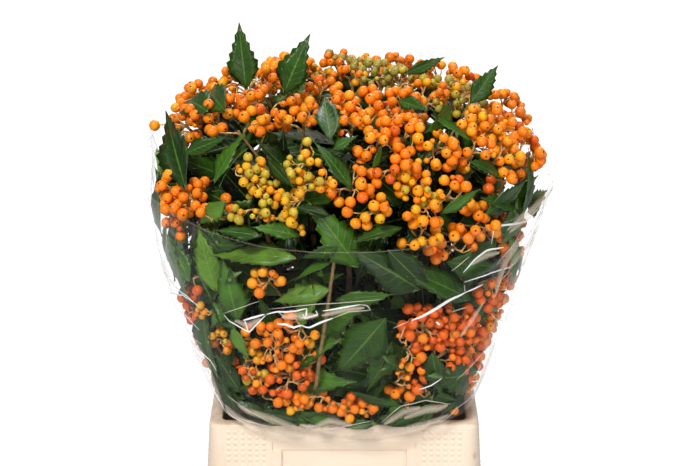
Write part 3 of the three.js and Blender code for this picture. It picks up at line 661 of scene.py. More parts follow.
# The leaves that stand out in the picture: root and tip across and down in it, depth of root and tip
# behind the bunch's surface, width, shape, tone, how far it turns from facing outwards.
LEAVES_SEEN = [
    (246, 90, 238, 26, 20, 0, 1.0, 0, 1, 0.2), (284, 94, 306, 36, 22, 0, 1.1, 0, 1, 0.3),
    (404, 74, 446, 57, 20, 14, 0.6, 1, 1, 0.9), (470, 104, 496, 66, 14, 30, 1.0, 3, 1, 0.3),
    (330, 140, 325, 94, 10, 0, 0.8, 1, 1, 0.3), (208, 112, 179, 91, 8, 0, 0.8, 0, 1, 0.1),
    (186, 190, 163, 108, 8, 0, 0.55, 1, 0, 0.3), (214, 184, 240, 126, 10, 0, 0.8, 0, 2, -0.4),
    (184, 154, 226, 136, 8, 2, 0.7, 4, 1, 0.2),
    (226, 112, 198, 79, 10, 0, 0.6, 0, 1, -0.2), (352, 190, 318, 138, 16, 4, 0.8, 0, 1, 0.5),
    (332, 150, 356, 134, 8, 4, 1.2, 4, 1, -0.6), (372, 168, 388, 145, 6, 2, 1.0, 2, 2, 0.8),
    (470, 140, 430, 118, 14, 2, 0.8, 3, 2, 0.6), (452, 108, 428, 132, 12, 2, 0.8, 1, 2, -0.6),
    (358, 268, 314, 204, 14, 0, 1.0, 0, 2, 0.2), (226, 200, 192, 232, 8, 0, 0.7, 2, 3, -0.4),
    (296, 258, 208, 250, 8, 0, 0.75, 4, 3, 0.5), (216, 292, 196, 232, 6, 0, 1.1, 0, 3, 0.2),
    (238, 322, 222, 262, 6, 0, 1.1, 4, 2, 0.3), (190, 282, 166, 236, 6, 0, 1.0, 0, 2, 0.2),
    (332, 262, 292, 272, 6, 0, 0.9, 2, 2, 0.8), (330, 290, 272, 300, 4, 0, 1.1, 4, 3, 0.4),
    (336, 300, 392, 292, 6, 0, 0.9, 3, 2, 0.6), (312, 284, 300, 330, 6, 0, 0.9, 1, 3, 0.3),
    (420, 290, 358, 250, 8, 0, 1.1, 0, 0, 0.2), (388, 250, 432, 296, 10, 0, 1.0, 4, 0, 0.4),
    (470, 300, 404, 262, 8, 0, 0.8, 0, 1, 0.5), (446, 262, 500, 268, 8, 0, 0.9, 1, 1, 0.4),
    (496, 240, 464, 276, 8, 0, 1.0, 3, 1, 0.6), (520, 214, 484, 196, 8, 0, 0.8, 1, 1, 0.7),
    (486, 214, 532, 182, 8, 0, 0.8, 4, 1, 0.4),
    (386, 318, 334, 380, 4, 0, 1.15, 0, 1, 0.1), (392, 342, 370, 394, 8, 2, 1.1, 4, 1, -0.3),
    (432, 352, 440, 396, 6, 0, 1.1, 1, 1, 0.6), (228, 300, 206, 330, 6, 0, 1.0, 4, 2, 0.3),
    (236, 330, 210, 300, 8, 0, 1.0, 2, 1, 0.4), (232, 326, 246, 362, 6, 0, 1.0, 0, 3, 0.2),
    (212, 366, 238, 416, 6, 0, 0.9, 1, 0, 0.3), (240, 392, 214, 352, 8, 2, 1.0, 3, 0, 0.5),
    (300, 412, 346, 426, 6, 0, 0.8, 2, 1, 0.5), (372, 420, 440, 408, 6, 0, 0.8, 1, 1, 0.6),
    (392, 428, 424, 414, 4, 0, 1.1, 0, 1, 0.4), (466, 392, 440, 416, 6, 0, 0.6, 4, 0, 0.5),
    (352, 392, 404, 404, 8, 2, 0.6, 3, 1, 0.7), (268, 420, 236, 398, 6, 0, 1.0, 2, 0, 0.5),
    (300, 236, 252, 226, 14, 4, 0.8, 1, 2, 0.5), (402, 228, 352, 238, 16, 4, 0.7, 0, 1, 0.6),
    (440, 214, 478, 188, 14, 2, 0.7, 3, 2, 0.5), (340, 246, 300, 262, 8, 0, 0.8, 0, 1, -0.5),
    (248, 148, 212, 176, 16, 2, 0.6, 2, 2, 0.8), (268, 160, 290, 186, 18, 8, 0.8, 4, 0, 0.3),
    (330, 216, 296, 206, 18, 6, 0.8, 1, 0, 0.4), (398, 100, 430, 112, 16, 2, 0.8, 3, 1, 0.4),
    (500, 176, 470, 160, 16, 4, 0.8, 1, 1, 0.4), (262, 236, 214, 228, 12, 2, 0.8, 4, 1, 0.4),
    (376, 424, 334, 428, 5, 0, 0.7, 0, 1, 0.3), (334, 422, 296, 420, 5, 0, 0.8, 2, 2, -0.3),
    (300, 422, 262, 410, 5, 0, 0.8, 1, 0, 0.3),
]


def outwards(p):
    """The level way out from the middle of the bunch."""
    return Vector((p[0], p[1], 0)).normalized()


def spray_axis(p):
    """The way a spray faces: up in the middle of the crown, and out at its side and under it."""
    lean = min(1.05, math.hypot(p[0], p[1] / CROWN_DEPTH) / CROWN_HALF)
    low = max(0.0, min(1.0, (RIM + 200 - p[2]) / 50))
    axis = outwards(p) * (1.15 * lean**2 * (1 - low) + low)
    axis.z = (1 - 0.45 * lean**3) * (1 - low) + 0.25 * low
    return axis.normalized()


class Room:
    """What is already in the bunch, kept in cells: the berries that a new one or a leaf keeps off."""

    def __init__(self):
        self.cells = {}

    def near(self, p):
        """What is in the cells round that place."""
        key = [int(c // CELL) for c in p]
        for i in (-1, 0, 1):
            for j in (-1, 0, 1):
                for k in (-1, 0, 1):
                    yield from self.cells.get((key[0] + i, key[1] + j, key[2] + k), ())

    def clear(self, p, radius):
        """Whether a ball of that radius has room there."""
        for x, y, z, r in self.near(p):
            if (p[0] - x) ** 2 + (p[1] - y) ** 2 + (p[2] - z) ** 2 < (0.93 * (radius + r)) ** 2:
                return False
        return True

    def take(self, p, radius):
        """Keeps the room that a ball takes up."""
        key = tuple(int(c // CELL) for c in p)
        self.cells.setdefault(key, []).append((p[0], p[1], p[2], radius))


def leaning(axis, polar, angle):
    """A direction that leans away from an axis by polar, at an angle round it."""
    side = Vector((0, 0, 1)).cross(axis)
    side = side.normalized() if side.length > 0.1 else Vector((1, 0, 0))
    way = Matrix.Rotation(polar, 3, side) @ axis
    return (Matrix.Rotation(angle, 3, axis) @ way).normalized()


seen_roots = np.array([leaf[0:2] for leaf in LEAVES_SEEN], float)
seen_tips = np.array([leaf[2:4] for leaf in LEAVES_SEEN], float)
leaf_widths = np.array([leaf[6] for leaf in LEAVES_SEEN])
seen_widths = np.linalg.norm(seen_tips - seen_roots, axis=1) * leaf_widths * LEAF_KEPT["half"]


def hides_leaf(p):
    """Whether a berry there would stand in front of the middle of a leaf that the picture shows."""
    from_root = np.array(picture_place(p)) - seen_roots
    along = seen_tips - seen_roots
    share = (from_root * along).sum(axis=1) / (along**2).sum(axis=1)
    share = np.clip(share, LEAF_KEPT["from"], LEAF_KEPT["to"])
    off = np.linalg.norm(along * share[:, None] - from_root, axis=1)
    return p[1] < HIDING_BEFORE and bool((off < seen_widths).any())


room = Room()
twigs, stalks, berries, sprays = [], [], [], []


def grow_berry(fork, way, length, mix, random, unripe):
    """A berry on its own short stalk, turned aside until it has room, or left out."""
    for attempt in range(7):
        polar = (0.25 + 0.16 * attempt) * (0.6 + 0.6 * random())
        towards = leaning(way, polar, 2 * math.pi * random())
        small = random() < (0.32 if unripe else 0.1)
        least, spread = BERRY_RADII["small" if small else ("unripe" if unripe else "ripe")]
        radius = least + spread * random()
        end = fork + towards * length * (0.8 + 0.5 * random())
        middle = end + towards * radius * 0.9
        if not inside_bunch(middle, radius + 2.4, -4)[0] or not room.clear(middle, radius):
            continue
        if hides_leaf(middle):
            continue
        room.take(middle, radius)
        stalks.append(([fork, (fork + end) / 2 + way * 0.8, middle], (0.85, 0.75, 0.7)))
        pick = random()
        tone = next(name for share, name in mix if pick <= share)
        berries.append((middle, towards, radius, tone))
        return True
    return False


def grow_spray(fork, heading, target, axis, reach, count, tone, random):
    """The twig from a limb's fork to a spray, and the spray itself."""
    place = "low" if target.z < LOW_TO else "crown"
    flat = SPRAY_DEEP[place]
    centre = target - axis * reach * flat
    heart = centre + axis * reach * 0.18 * flat
    span = (heart - fork).length
    line = bezier([fork, fork + heading * 0.35 * span, heart - axis * 0.4 * span, heart], 14)
    twigs.append((line, np.linspace(*TWIG_RADII, 14)))
    sprays.append({"line": line, "axis": axis, "top": target})
    unripe = tone in ("olive", "lime", "turning", "amber")
    rays = max(3, round(count / BERRIES_A_RAY[place]))
    for i in range(rays):
        polar = math.acos(1 - 1.12 * (i + 0.5) / rays)
        way = leaning(axis, polar, i * GOLDEN_ANGLE + 0.5 * random())
        start = heart - axis * reach * (0.15 + 0.75 * (i + 0.5) / rays) * (0.8 + 0.2 * random())
        start = start if (start - heart).dot(axis) > -0.8 * span else heart
        middle = centre + (way - axis * way.dot(axis) * (1 - flat)) * (reach - 13) * 0.55
        bend = start + axis * (middle - start).length * 0.35 + (middle - start) * 0.35
        ray = bezier([start, bend, middle], 5)
        held = 0
        for k in range(2 if random() < 0.6 else 3):
            aside = leaning(way, 0.5 + 0.3 * random(), k * 2.4 + 6.3 * random())
            aside = aside - axis * aside.dot(axis) * (1 - flat)
            end = middle + aside * (reach - 13) * (0.4 + 0.15 * random())
            branch = bezier([middle, middle + way * 4 + (end - middle) * 0.4, end], 4)
            borne = 0
            for berry_number in range(3 if random() < 0.7 else 2):
                borne += grow_berry(end, aside, 4.5 + 3 * random(), MIXES[tone], random, unripe)
            if random() < 0.4:
                borne += grow_berry(Vector(branch[2]), way, 7 + 4 * random(), MIXES[tone], random, unripe)
            if borne:
                stalks.append((branch, np.linspace(1.0, 0.85, 4)))
            held += borne
        if held:
            stalks.append((ray, np.linspace(1.35, 1.1, 5)))


stem_forks, bough_forks = [], []
for limb, lines, forks in (("stem", stem_lines, stem_forks), ("bough", bough_lines, bough_forks)):
    length, radius = LEADERS[limb]
    for line in lines:
        heading = Vector(line[-1] - line[-2]).normalized()
        start = Vector(line[-1]) + heading * LEADER_GAP
        end = start + heading * length
        leader = np.array([line[-1], start, (start + end) / 2, end])
        twigs.append((leader, (radius, radius, radius * 0.96, radius * 0.9)))
        forks.append((end, heading))

line = [bough_forks[5][0]]
for spot in SHOOT_SEEN:
    at = Vector(on_bunch(*spot))
    line.append(at - outwards(at) * 5)
line = evenly(line, 60)
for soften in range(12):
    line[1:-1] = (line[:-2] + 2 * line[1:-1] + line[2:]) / 4
twigs.append((line, bark_radii(*SHOOT_RADII, 60, seeded(650))))
for at in line:
    room.take(at, 2.4)


def limb_for(target):
    """The fork that a spray's twig leaves: the low sprays' from a bough, the crown's from a stem."""
    if target.z < BOUGHS_TO:
        share = (math.atan2(target.y, target.x) % (2 * math.pi)) / (2 * math.pi)
        return bough_forks[int(share * SHOOTS)]
    apart = [(head.xy - target.xy).length for head in heads]
    return stem_forks[apart.index(min(apart))]


for number, (across, down, reach, count, tone) in enumerate(SPRAYS_SEEN):
    spot = on_bunch(across, down)
    target = Vector(spot) - outwards(spot) * (2 if spot[2] < LOW_TO else 0)
    axis = spray_axis(target)
    grow_spray(*limb_for(target), target, axis, reach, count, tone, seeded(700 + number))
seen = [spray["top"] for spray in sprays]


def in_sight(p):
    """Whether a place is on the part of the bunch that the picture shows."""
    return np.linalg.norm(on_bunch(*picture_place(p)) - np.array(p)) < 30


for number in range(CROWN_SPRAYS):
    place = sunflower(number, CROWN_SPRAYS, CROWN_SPREAD)
    target = Vector((place.x, place.y, float(dome_height(place.x, place.y))))
    apart = min((target - other).length for other in seen)
    random = seeded(800 + number)
    if apart < APART["shown" if in_sight(target) else "hidden"]:
        continue
    tone = CROWN_TONES[int(8 * random())]
    grow_spray(*limb_for(target), target, spray_axis(target), 30 + 6 * random(), 28, tone, random)
for band, (up, around) in enumerate(LOW_BANDS):
    for step in range(around):
        random = seeded(900 + 40 * band + step)
        angle = 2 * math.pi * (step + 0.5 * (band % 2) + 0.4 * random()) / around
        target = film_wall(angle, RIM + up + 14 * random(), 7)
        apart = min((target - other).length for other in seen)
        if apart < APART["low"] or math.sin(angle) < -0.75:
            continue
        tone = LOW_TONES[int(5 * random())]
        grow_spray(*limb_for(target), target, spray_axis(target), 26 + 6 * random(), 24, tone, random)


def mottled(name, size, detail, *stops, **sockets):
    """A finish whose colour changes with a noise of that size in mm."""
    material, tree, shader = finish_of(name, **sockets)
    place = node(tree, "ShaderNodeTexCoord").outputs["Object"]
    colour = ramp(tree, noise(tree, place, size, detail), *stops)
    tree.links.new(colour, shader.inputs["Base Color"])
    return material


# Green-brown skin of this year's twigs, and the dry tan stalks of the sprays.
browns = (0.35, linear("#6B5330")), (0.65, linear("#8E7442"))
twig_skin = mottled("twig_skin", 4, 4.0, *browns, Roughness=0.6)
tans = (0.35, linear("#B98743")), (0.65, linear("#DDB271"))
stalk_skin = mottled("dry_stalk", 6, 3.0, *tans, Roughness=0.6)

twig_piece = rods("leafy_twigs", twigs, 6, twig_skin)
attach(twig_piece, "root")
stalk_piece = rods("berry_stalks", stalks, 4, stalk_skin)
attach(stalk_piece, "root")

# Berries
# Round capsules about ten millimetres across, with a satin skin, a faint groove between their two
# halves and a dark dried dot at the tip. Most are ripe orange; some sprays are still yellow or olive.
bm = bmesh.new()
bmesh.ops.create_uvsphere(bm, u_segments=10, v_segments=6, radius=1)
LATITUDES = [11, 42, 76, 110, 146]  # degrees from the tip, for the rings between the poles
for v in bm.verts:
    polar = math.degrees(math.acos(max(-1, min(1, v.co.z))))
    if 1 < polar < 179:
        new = math.radians(LATITUDES[round(polar / 30) - 1])
        turn = math.atan2(v.co.y, v.co.x)
        out = math.sin(new) * (1 - 0.035 * math.exp(-(math.cos(turn) ** 2) / 0.06))
        v.co = Vector((out * math.cos(turn), out * math.sin(turn), math.cos(new)))
    if v.co.z > 0.97:  # the dried tip lies a little sunk
        v.co.z -= 0.02
berry_tip = [face.calc_center_median().z > 0.95 for face in bm.faces]
berry, berry_faces = arrays(bm)


def shade(colour, factor, more=0.0):
    """The colour made darker or paler."""
    return tuple(min(1, c * factor + more) for c in colour[:3]) + (1,)


def berry_skin(tone):
    """Satin skin of one ripeness, faintly mottled."""
    plain = linear(TONES[tone])
    stops = (0.36, shade(plain, 0.8)), (0.5, plain), (0.64, shade(plain, 1.16))
    return mottled(f"berry_skin_{tone}", 11, 3.0, *stops, Roughness=0.32, Specular_IOR_Level=0.35)


dried = finish_of("dried_tip", Base_Color=linear("#3A1F0C"), Roughness=0.8)[0]
skins = [berry_skin(tone) for tone in TONE_NAMES] + [dried]
parts = []
for middle, towards, radius, tone in berries:
    random = seeded(int(abs(middle.x * 31 + middle.y * 17 + middle.z * 7)) + 3000)
    turn = towards.to_track_quat("Z", "Y").to_matrix() @ Matrix.Rotation(2 * math.pi * random(), 3, "Z")
    shape = berry * np.array([radius * 1.04, radius * 1.04, radius * (0.94 + 0.08 * random())])
    kinds = [len(TONE_NAMES) if tip else TONE_NAMES.index(tone) for tip in berry_tip]
    parts.append((shape @ np.array(turn).T + np.array(middle), berry_faces, kinds))
half = len(parts) // 2
for name, share in (("berries_seen_first", parts[:half]), ("berries_all_round", parts[half:])):
    piece = joined(name, share, skins)
    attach(piece, "root")
    if name == "berries_seen_first":
        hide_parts(*[f"crown_mass_{i + 1}" for i in range(STEMS)])

# Leaves
# Leathery and glossy, rhomboid with a long point and coarse teeth over the outer two thirds. Each is
# dark above with a pale midrib and a thin yellow-green edge, and paler and duller beneath.
LEAF_OUTLINE = [  # shares of the length, with how far a tooth or the gap before it stands out there
    (0, 1), (0.1, 1), (0.22, 1), (0.32, 1.09), (0.35, 0.93), (0.45, 1.13), (0.48, 0.9), (0.57, 1.16),
    (0.6, 0.87), (0.7, 1.19), (0.73, 0.83), (0.82, 1.2), (0.86, 0.75), (1, 1),
]
LEAF_BENDS = [  # droop, fold along the midrib, twist and wave of the edge
    (0.16, 0.22, 0.0, 0.012), (0.05, 0.34, 0.25, 0.016), (0.3, 0.16, -0.2, 0.014),
    (-0.08, 0.28, 0.12, 0.02), (0.1, 0.1, -0.3, 0.022),
]
# The last green is painted shade: a darker copy of the leaf colour for the leaves deep in the heart,
# where the bunch shades itself.
LEAF_TONES = ["#1B3408", "#27470B", "#385E12", "#527620", "#0D1905"]  # the last is for the heart
LEAF_BENT = 16.0  # the most that a leaf is bent aside by the film
LEAF_TURNS = {"low": 4, "back": 3, "front": 1}  # leaves under a low spray, or one of the crown
# Tone 4 in these is that painted-shade green of the heart.
WHORL_TONES = {"low": (0, 1, 1, 2, 0, 1, 4, 2), "back": (0, 4, 1, 0, 4, 1, 0, 2)}
WHORL_TONES["front"] = WHORL_TONES["back"]
INNER_LEAVES = 900  # in the heart of the bunch, on the stems and twigs
LEAF_BANDS = [  # pressed on the film at the sides and back: height above the rim, leaves round the bunch
    (226, 26), (204, 26), (182, 26), (156, 24), (122, 22), (84, 18), (40, 16)
]


def leaf_half_width(t):
    """Half the blade's width at a share of its length, as a share of the length, without teeth."""
    if t < 0.4:
        return 0.012 + 0.222 * math.sin(t / 0.4 * math.pi / 2) ** 1.25
    left = (1 - t) / 0.6
    return 0.234 * left**0.92 * (0.86 + 0.14 * left)


def leaf_shape(droop, fold, twist, wave):
    """A leaf one long, with its root at the origin and its tip along +Y: a closed thin shell."""
    bm = bmesh.new()
    last = len(LEAF_OUTLINE) - 1
    for columns, side in ((4, 1), (2, -1)):
        grid = bmesh.ops.create_grid(bm, x_segments=columns, y_segments=last, size=1)["verts"]
        for face in bm.faces:
            face.material_index = int(side < 0 and not face.tag)
            face.tag = True
        for v in grid:
            across, row = v.co.x, round((v.co.y + 1) / 2 * last)
            edge, inner = abs(across) > 0.9, 0 < row < last
            t, tooth = LEAF_OUTLINE[row]
            x = across * leaf_half_width(t) * (tooth if edge else 1) * inner
            ripple = wave * abs(across) * math.sin(9 * t + math.copysign(2, across))
            z = fold * abs(x) - droop * t * t + ripple
            if inner and not edge:
                z += side * 0.004
            v.co = Vector((x, t, z + twist * x * t))
    bmesh.ops.remove_doubles(bm, verts=bm.verts, dist=0.0006)
    bmesh.ops.recalc_face_normals(bm, faces=bm.faces)
    under = [face.material_index == 1 for face in bm.faces]
    points, faces = arrays(bm)
    return points, faces, under


leaf_shapes = [leaf_shape(*bends) for bends in LEAF_BENDS]
leaves = []


def press_inside(points, gap):
    """Moves what would pass through the film back inside it, and lays what is in the rim on it."""
    over_rim = np.abs(points[:, :2]).max(axis=1) > 119
    laid = np.maximum(RIM + 2, RIM + 5 + 0.12 * (points[:, 2] - RIM - 5))
    points[:, 2] = np.where(over_rim, np.maximum(points[:, 2], laid), points[:, 2])
    out = np.hypot(points[:, 0], points[:, 1])
    share = np.minimum(1, (film_reach(points) - gap) / np.maximum(1, out))
    points[:, :2] *= share[:, None]
    return points


def blade(shape, root, towards, facing, length, width):
    """The points of a leaf that stands at root, points towards and shows its upper side to facing."""
    up = facing - towards * facing.dot(towards)
    up = up.normalized() if up.length > 0.05 else leaning(towards, math.pi / 2, 0)
    side = towards.cross(up)
    turn = np.array([side * width, towards, up]).T
    return (shape * length) @ turn.T + np.array(root)


def add_leaf(root, towards, facing, length, width, kind, tone, pressed, keep_off, deep=8):
    """Adds a leaf if it stays in the bunch, that deep under its dome, and keeps off the berries."""
    shape, faces, under = leaf_shapes[kind]
    points = blade(shape, root, towards.normalized(), facing, length, width)
    if pressed:
        free = points.copy()
        points = press_inside(points, pressed)
        if keep_off and np.abs(points - free).max() > LEAF_BENT:
            return False
    if keep_off and not inside_bunch(points, 0.5, -deep, -12.0).all():
        return False
    if keep_off:
        hits = sum(not room.clear(p, 0.3) for p in points[::3])
        if hits > keep_off - 1:
            return False
    leaves.append((points, faces, under, shape, tone))
    return True


for number, (x0, y0, x1, y1, deep, tip_deep, width, kind, tone, turn) in enumerate(LEAVES_SEEN):
    root, tip = Vector(on_bunch(x0, y0)) + sight(x0, y0) * deep, on_bunch(x1, y1)
    if y1 < 70:
        tip = np.array(seen_at(x1, y1, root.y + tip_deep))
    tip = Vector(tip)
    axis = spray_axis(root)
    towards = tip - root
    facing = Matrix.Rotation(turn, 3, towards.normalized()) @ (axis - Vector((0, 0.5, 0)))
    add_leaf(root, towards, facing, towards.length * 1.02, width, kind, tone, 1.4 * (y1 >= 70), 0)


def joint_of(line, mark):
    """Where a leaf stands on a twig, and the twig's heading there."""
    return Vector(line[mark]), Vector(line[mark] - line[mark - 1]).normalized()


for number, spray in enumerate(sprays):
    random = seeded(1500 + number)
    line, low = spray["line"], spray["top"].z < LOW_TO
    place = "low" if low else ("back" if spray["top"].y > 30 else "front")
    for k in range(LEAF_TURNS[place]):
        root, axis = joint_of(line, len(line) - (3 if low else 6) - int(5 * random()))
        facing = (spray["axis"] if low else Vector((0, 0, 1)) * 0.6 + spray["axis"]) + axis * 0.4
        for attempt in range(8):
            polar = 1.0 + (0.45 if low else 0.55) * random()
            angle = k * GOLDEN_ANGLE + number + 0.8 * attempt
            towards = leaning(spray["axis"] if low else axis, polar, angle)
            length = (62 + 34 * random()) * (1 - 0.05 * attempt)
            tone = WHORL_TONES[place][int(8 * random())]
            width, kind = 0.8 + 0.3 * random(), int(5 * random())
            if add_leaf(root, towards, facing, length, width, kind, tone, 6 * low, 1 if low else 3):
                break
for number in range(INNER_LEAVES):
    random = seeded(2500 + number)
    line = twigs[int(len(twigs) * random())][0] if number % 3 else stem_lines[number % STEMS][50:]
    root, axis = joint_of(line, 1 + int((len(line) - 2) * random()))
    towards = leaning(axis, 0.6 + 0.9 * random(), 2 * math.pi * random())
    facing = outwards(root) + Vector((0, 0, 0.6))
    # Three in four inner leaves take the heart's painted-shade green.
    tone = (4, 4, 4, 0)[number % 4]
    add_leaf(root, towards, facing, 55 + 35 * random(), 0.9, int(5 * random()), tone, 14, 2, 18)
for band, (up, around) in enumerate(LEAF_BANDS):
    for step in range(around):
        random = seeded(2900 + 40 * band + step)
        angle = 2 * math.pi * (step + 0.7 * random()) / around
        if math.sin(angle) < -0.72:
            continue
        root = film_wall(angle, RIM + up + 16 * random(), 6 + 14 * (step % 2), CROWN_HALF - 20)
        facing = outwards(root)
        towards = leaning(facing, 1.45, 2 * math.pi * random())
        towards.z = towards.z * 0.8 + 0.3
        length, kind, tone = 60 + 32 * random(), int(5 * random()), 1 + int(3 * random())
        add_leaf(root, towards, facing, length, 1.05, kind, tone, 2.2, 4)


def leaf_skin(number, colour, beneath):
    """Glossy upper side or dull underside of a leaf, with midrib, veins and edge drawn by its own map."""
    name = f"leaf_underside_{number}" if beneath else f"glossy_leaf_{number}"
    # The heart's painted-shade copy also gets less sheen.
    gloss = 0.1 if number == len(LEAF_TONES) else 0.3  # the leaves in the heart are dull
    material, tree, shader = finish_of(name, Roughness=0.6 if beneath else 0.33, Specular_IOR_Level=gloss)
    blade_map = node(tree, "ShaderNodeUVMap", {"uv_map": "blade"}).outputs[0]
    parts = node(tree, "ShaderNodeSeparateXYZ", {}, Vector=blade_map).outputs
    aside = worked(tree, "ABSOLUTE", worked(tree, "SUBTRACT", parts["X"], 0.5))
    slanted = worked(tree, "MULTIPLY_ADD", aside, -0.42, parts["Y"])
    nine_pairs = worked(tree, "PINGPONG", worked(tree, "MULTIPLY", slanted, 9.0), 0.5)
    veins = ramp(tree, nine_pairs, (0.0, 1.0), (0.06, 0.35), (0.16, 0.0))
    midrib = ramp(tree, aside, (0.0, 0.55), (0.012, 0.4), (0.035, 0.0))
    margin = ramp(tree, aside, (0.462, 0.0), (0.49, 1.0))
    place = node(tree, "ShaderNodeTexCoord").outputs["Object"]
    plain = linear(colour)
    if beneath:
        plain = tuple(0.55 * c + 0.45 * d for c, d in zip(plain, linear("#8DA768")))
    green = ramp(tree, noise(tree, place, 18, 4.0), (0.34, shade(plain, 0.7)), (0.66, shade(plain, 1.3)))
    veined = mixed(tree, worked(tree, "MULTIPLY", veins, 0.3), green, shade(plain, 2.2, 0.02))
    edged = mixed(tree, margin, mixed(tree, midrib, veined, "#6B8E40"), "#B3B457")
    tree.links.new(edged, shader.inputs["Base Color"])
    bumped(tree, shader, worked(tree, "ADD", veins, midrib), 0.5, 0.6, invert=not beneath)
    return material


leaf_skins = []
for beneath in (False, True):
    leaf_skins += [leaf_skin(i + 1, colour, beneath) for i, colour in enumerate(LEAF_TONES)]
half = len(leaves) // 2
for name, share in (("leaves_seen_first", leaves[:half]), ("leaves_all_round", leaves[half:])):
    parts, maps = [], []
    for points, faces, under, shape, tone in share:
        parts.append((points, faces, [tone + len(LEAF_TONES) * below for below in under]))
        halves = np.array([max(0.004, leaf_half_width(min(1, t)) * 1.1) for t in shape[:, 1]])
        across = shape[:, 0] / np.maximum(halves, np.abs(shape[:, 0]))
        own = np.stack([0.5 + 0.5 * across, shape[:, 1]], axis=1)
        maps += [own[c] for face in faces for c in face]
    piece = joined(name, parts, leaf_skins)
    layer = piece.data.uv_layers.new(name="blade")
    layer.data.foreach_set("uv", np.array(maps).ravel())
    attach(piece, "root")
    if name == "leaves_seen_first":
        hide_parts(*[f"low_mass_{i + 1}" for i in range(SHOOTS)])

# Film sleeve
# One tube of clear polypropylene film, welded down both sides, drawn up round the bunch and tucked
# into the bucket, and hanging over its rim in front. It is creased where it was gathered.
FILM_AROUND = 400
FILM_UP = 120
FILM_CREASES = 110
FOLD_STEP = 3.5
FILM_RADIUS = 190  # that a run round the film is measured at
WELDS = (math.pi * 0.985, -0.1)  # the angles round the bunch where its two side welds run
EARS = (60, 32)  # how far a corner of the film stands up at each
SEAM = 1.6  # the weld down each side, and the turn over the rim
HEM = 0.8  # the cut edge round the top
# Soft creases that show in the picture, as (across, down) at both ends, how deep and how wide in mm.
CREASES_SEEN = [
    (248, 321, 300, 327, 2.6, 5), (300, 327, 348, 318, 2.8, 5), (408, 322, 470, 274, 2.6, 4),
    (392, 314, 440, 296, 1.8, 4), (440, 296, 520, 232, 2.0, 4), (520, 176, 470, 280, 2.4, 5),
    (548, 172, 500, 250, 2.6, 4), (512, 250, 494, 330, 2.4, 4), (498, 300, 470, 392, 2.6, 4),
    (150, 228, 166, 300, 2.4, 4), (186, 330, 222, 400, 2.4, 4), (214, 372, 290, 434, 2.4, 4),
    (232, 384, 330, 420, 2.0, 4), (300, 434, 372, 416, 2.0, 4), (380, 436, 452, 396, 2.4, 4),
    (200, 250, 260, 262, 1.5, 5), (330, 262, 420, 256, 1.6, 5), (180, 228, 300, 246, 1.6, 5),
]
# Sharp folds that show in it, each drawn as a strip of painted highlight for the lamps' glint along it:
# how wide in mm, and the places across and down that each runs through.
FOLD_HIGHLIGHTS_SEEN = [
    (1.6, (225, 314), (230, 320), (251, 331), (266, 315)), (2.2, (244, 320), (254, 317), (265, 314)),
    (2.0, (246, 320), (250, 330)), (1.8, (267, 314), (277, 311), (284, 312), (295, 311), (307, 308)),
    (1.6, (307, 308), (306, 317), (301, 318)), (1.2, (278, 311), (284, 317)),
    (2.0, (316, 310), (318, 314), (305, 318), (303, 314)),
    (2.6, (278, 323), (287, 324), (294, 327), (302, 325)),
    (2.2, (302, 325), (309, 327), (320, 322), (333, 317)), (1.1, (333, 317), (349, 311), (370, 309)),
    (1.8, (323, 310), (349, 306), (360, 304)), (1.2, (360, 304), (367, 305), (370, 309)),
    (0.9, (269, 309), (319, 303), (382, 299)), (0.8, (224, 313), (259, 301)),
    (3.4, (411, 320), (431, 310), (448, 300), (464, 292)), (1.8, (464, 292), (481, 284)),
    (1.0, (393, 328), (408, 321)), (1.0, (404, 326), (399, 340)),
    (2.4, (462, 272), (474, 259), (487, 250), (502, 247)), (1.1, (450, 270), (468, 256)),
    (1.6, (462, 281), (491, 272), (509, 267), (516, 263)), (1.2, (462, 284), (464, 292)),
    (2.2, (492, 244), (509, 231), (524, 221), (537, 207)), (1.6, (537, 207), (548, 193), (555, 174)),
    (1.2, (495, 265), (504, 253), (518, 230)), (1.6, (542, 209), (535, 226), (523, 250)),
    (1.2, (514, 264), (500, 280), (492, 300)), (1.3, (455, 379), (468, 368), (482, 352), (494, 341)),
    (1.5, (418, 389), (429, 385), (441, 378)), (2.2, (470, 390), (478, 381), (471, 381)),
    (1.5, (481, 366), (474, 375)), (1.2, (489, 313), (493, 318), (502, 321)),
    (2.0, (436, 322), (440, 325)), (1.0, (451, 312), (467, 306)),
    (1.1, (380, 423), (400, 406), (426, 400), (450, 403)),
    (1.2, (408, 431), (431, 423), (443, 421), (456, 408), (470, 396)),
    (1.5, (470, 396), (480, 382), (490, 352)), (1.6, (161, 270), (172, 283), (186, 295), (200, 308)),
    (1.6, (164, 278), (172, 292), (183, 295), (198, 305)),
    (1.4, (168, 295), (176, 304), (186, 316), (200, 330)), (1.3, (180, 321), (191, 334), (202, 344)),
    (2.0, (187, 335), (198, 347), (211, 361), (217, 370)), (1.3, (192, 345), (203, 363), (211, 373)),
    (2.0, (204, 368), (211, 379), (219, 396), (225, 409)), (1.2, (225, 409), (235, 422)),
    (1.5, (226, 408), (240, 420), (244, 424)), (1.2, (229, 395), (243, 404), (259, 414), (275, 424)),
    (1.2, (237, 416), (253, 422), (269, 426)), (1.4, (154, 226), (158, 243), (165, 268), (172, 282)),
    (0.9, (162, 122), (154, 147), (152, 169)), (1.0, (300, 431), (330, 428), (372, 420)),
]
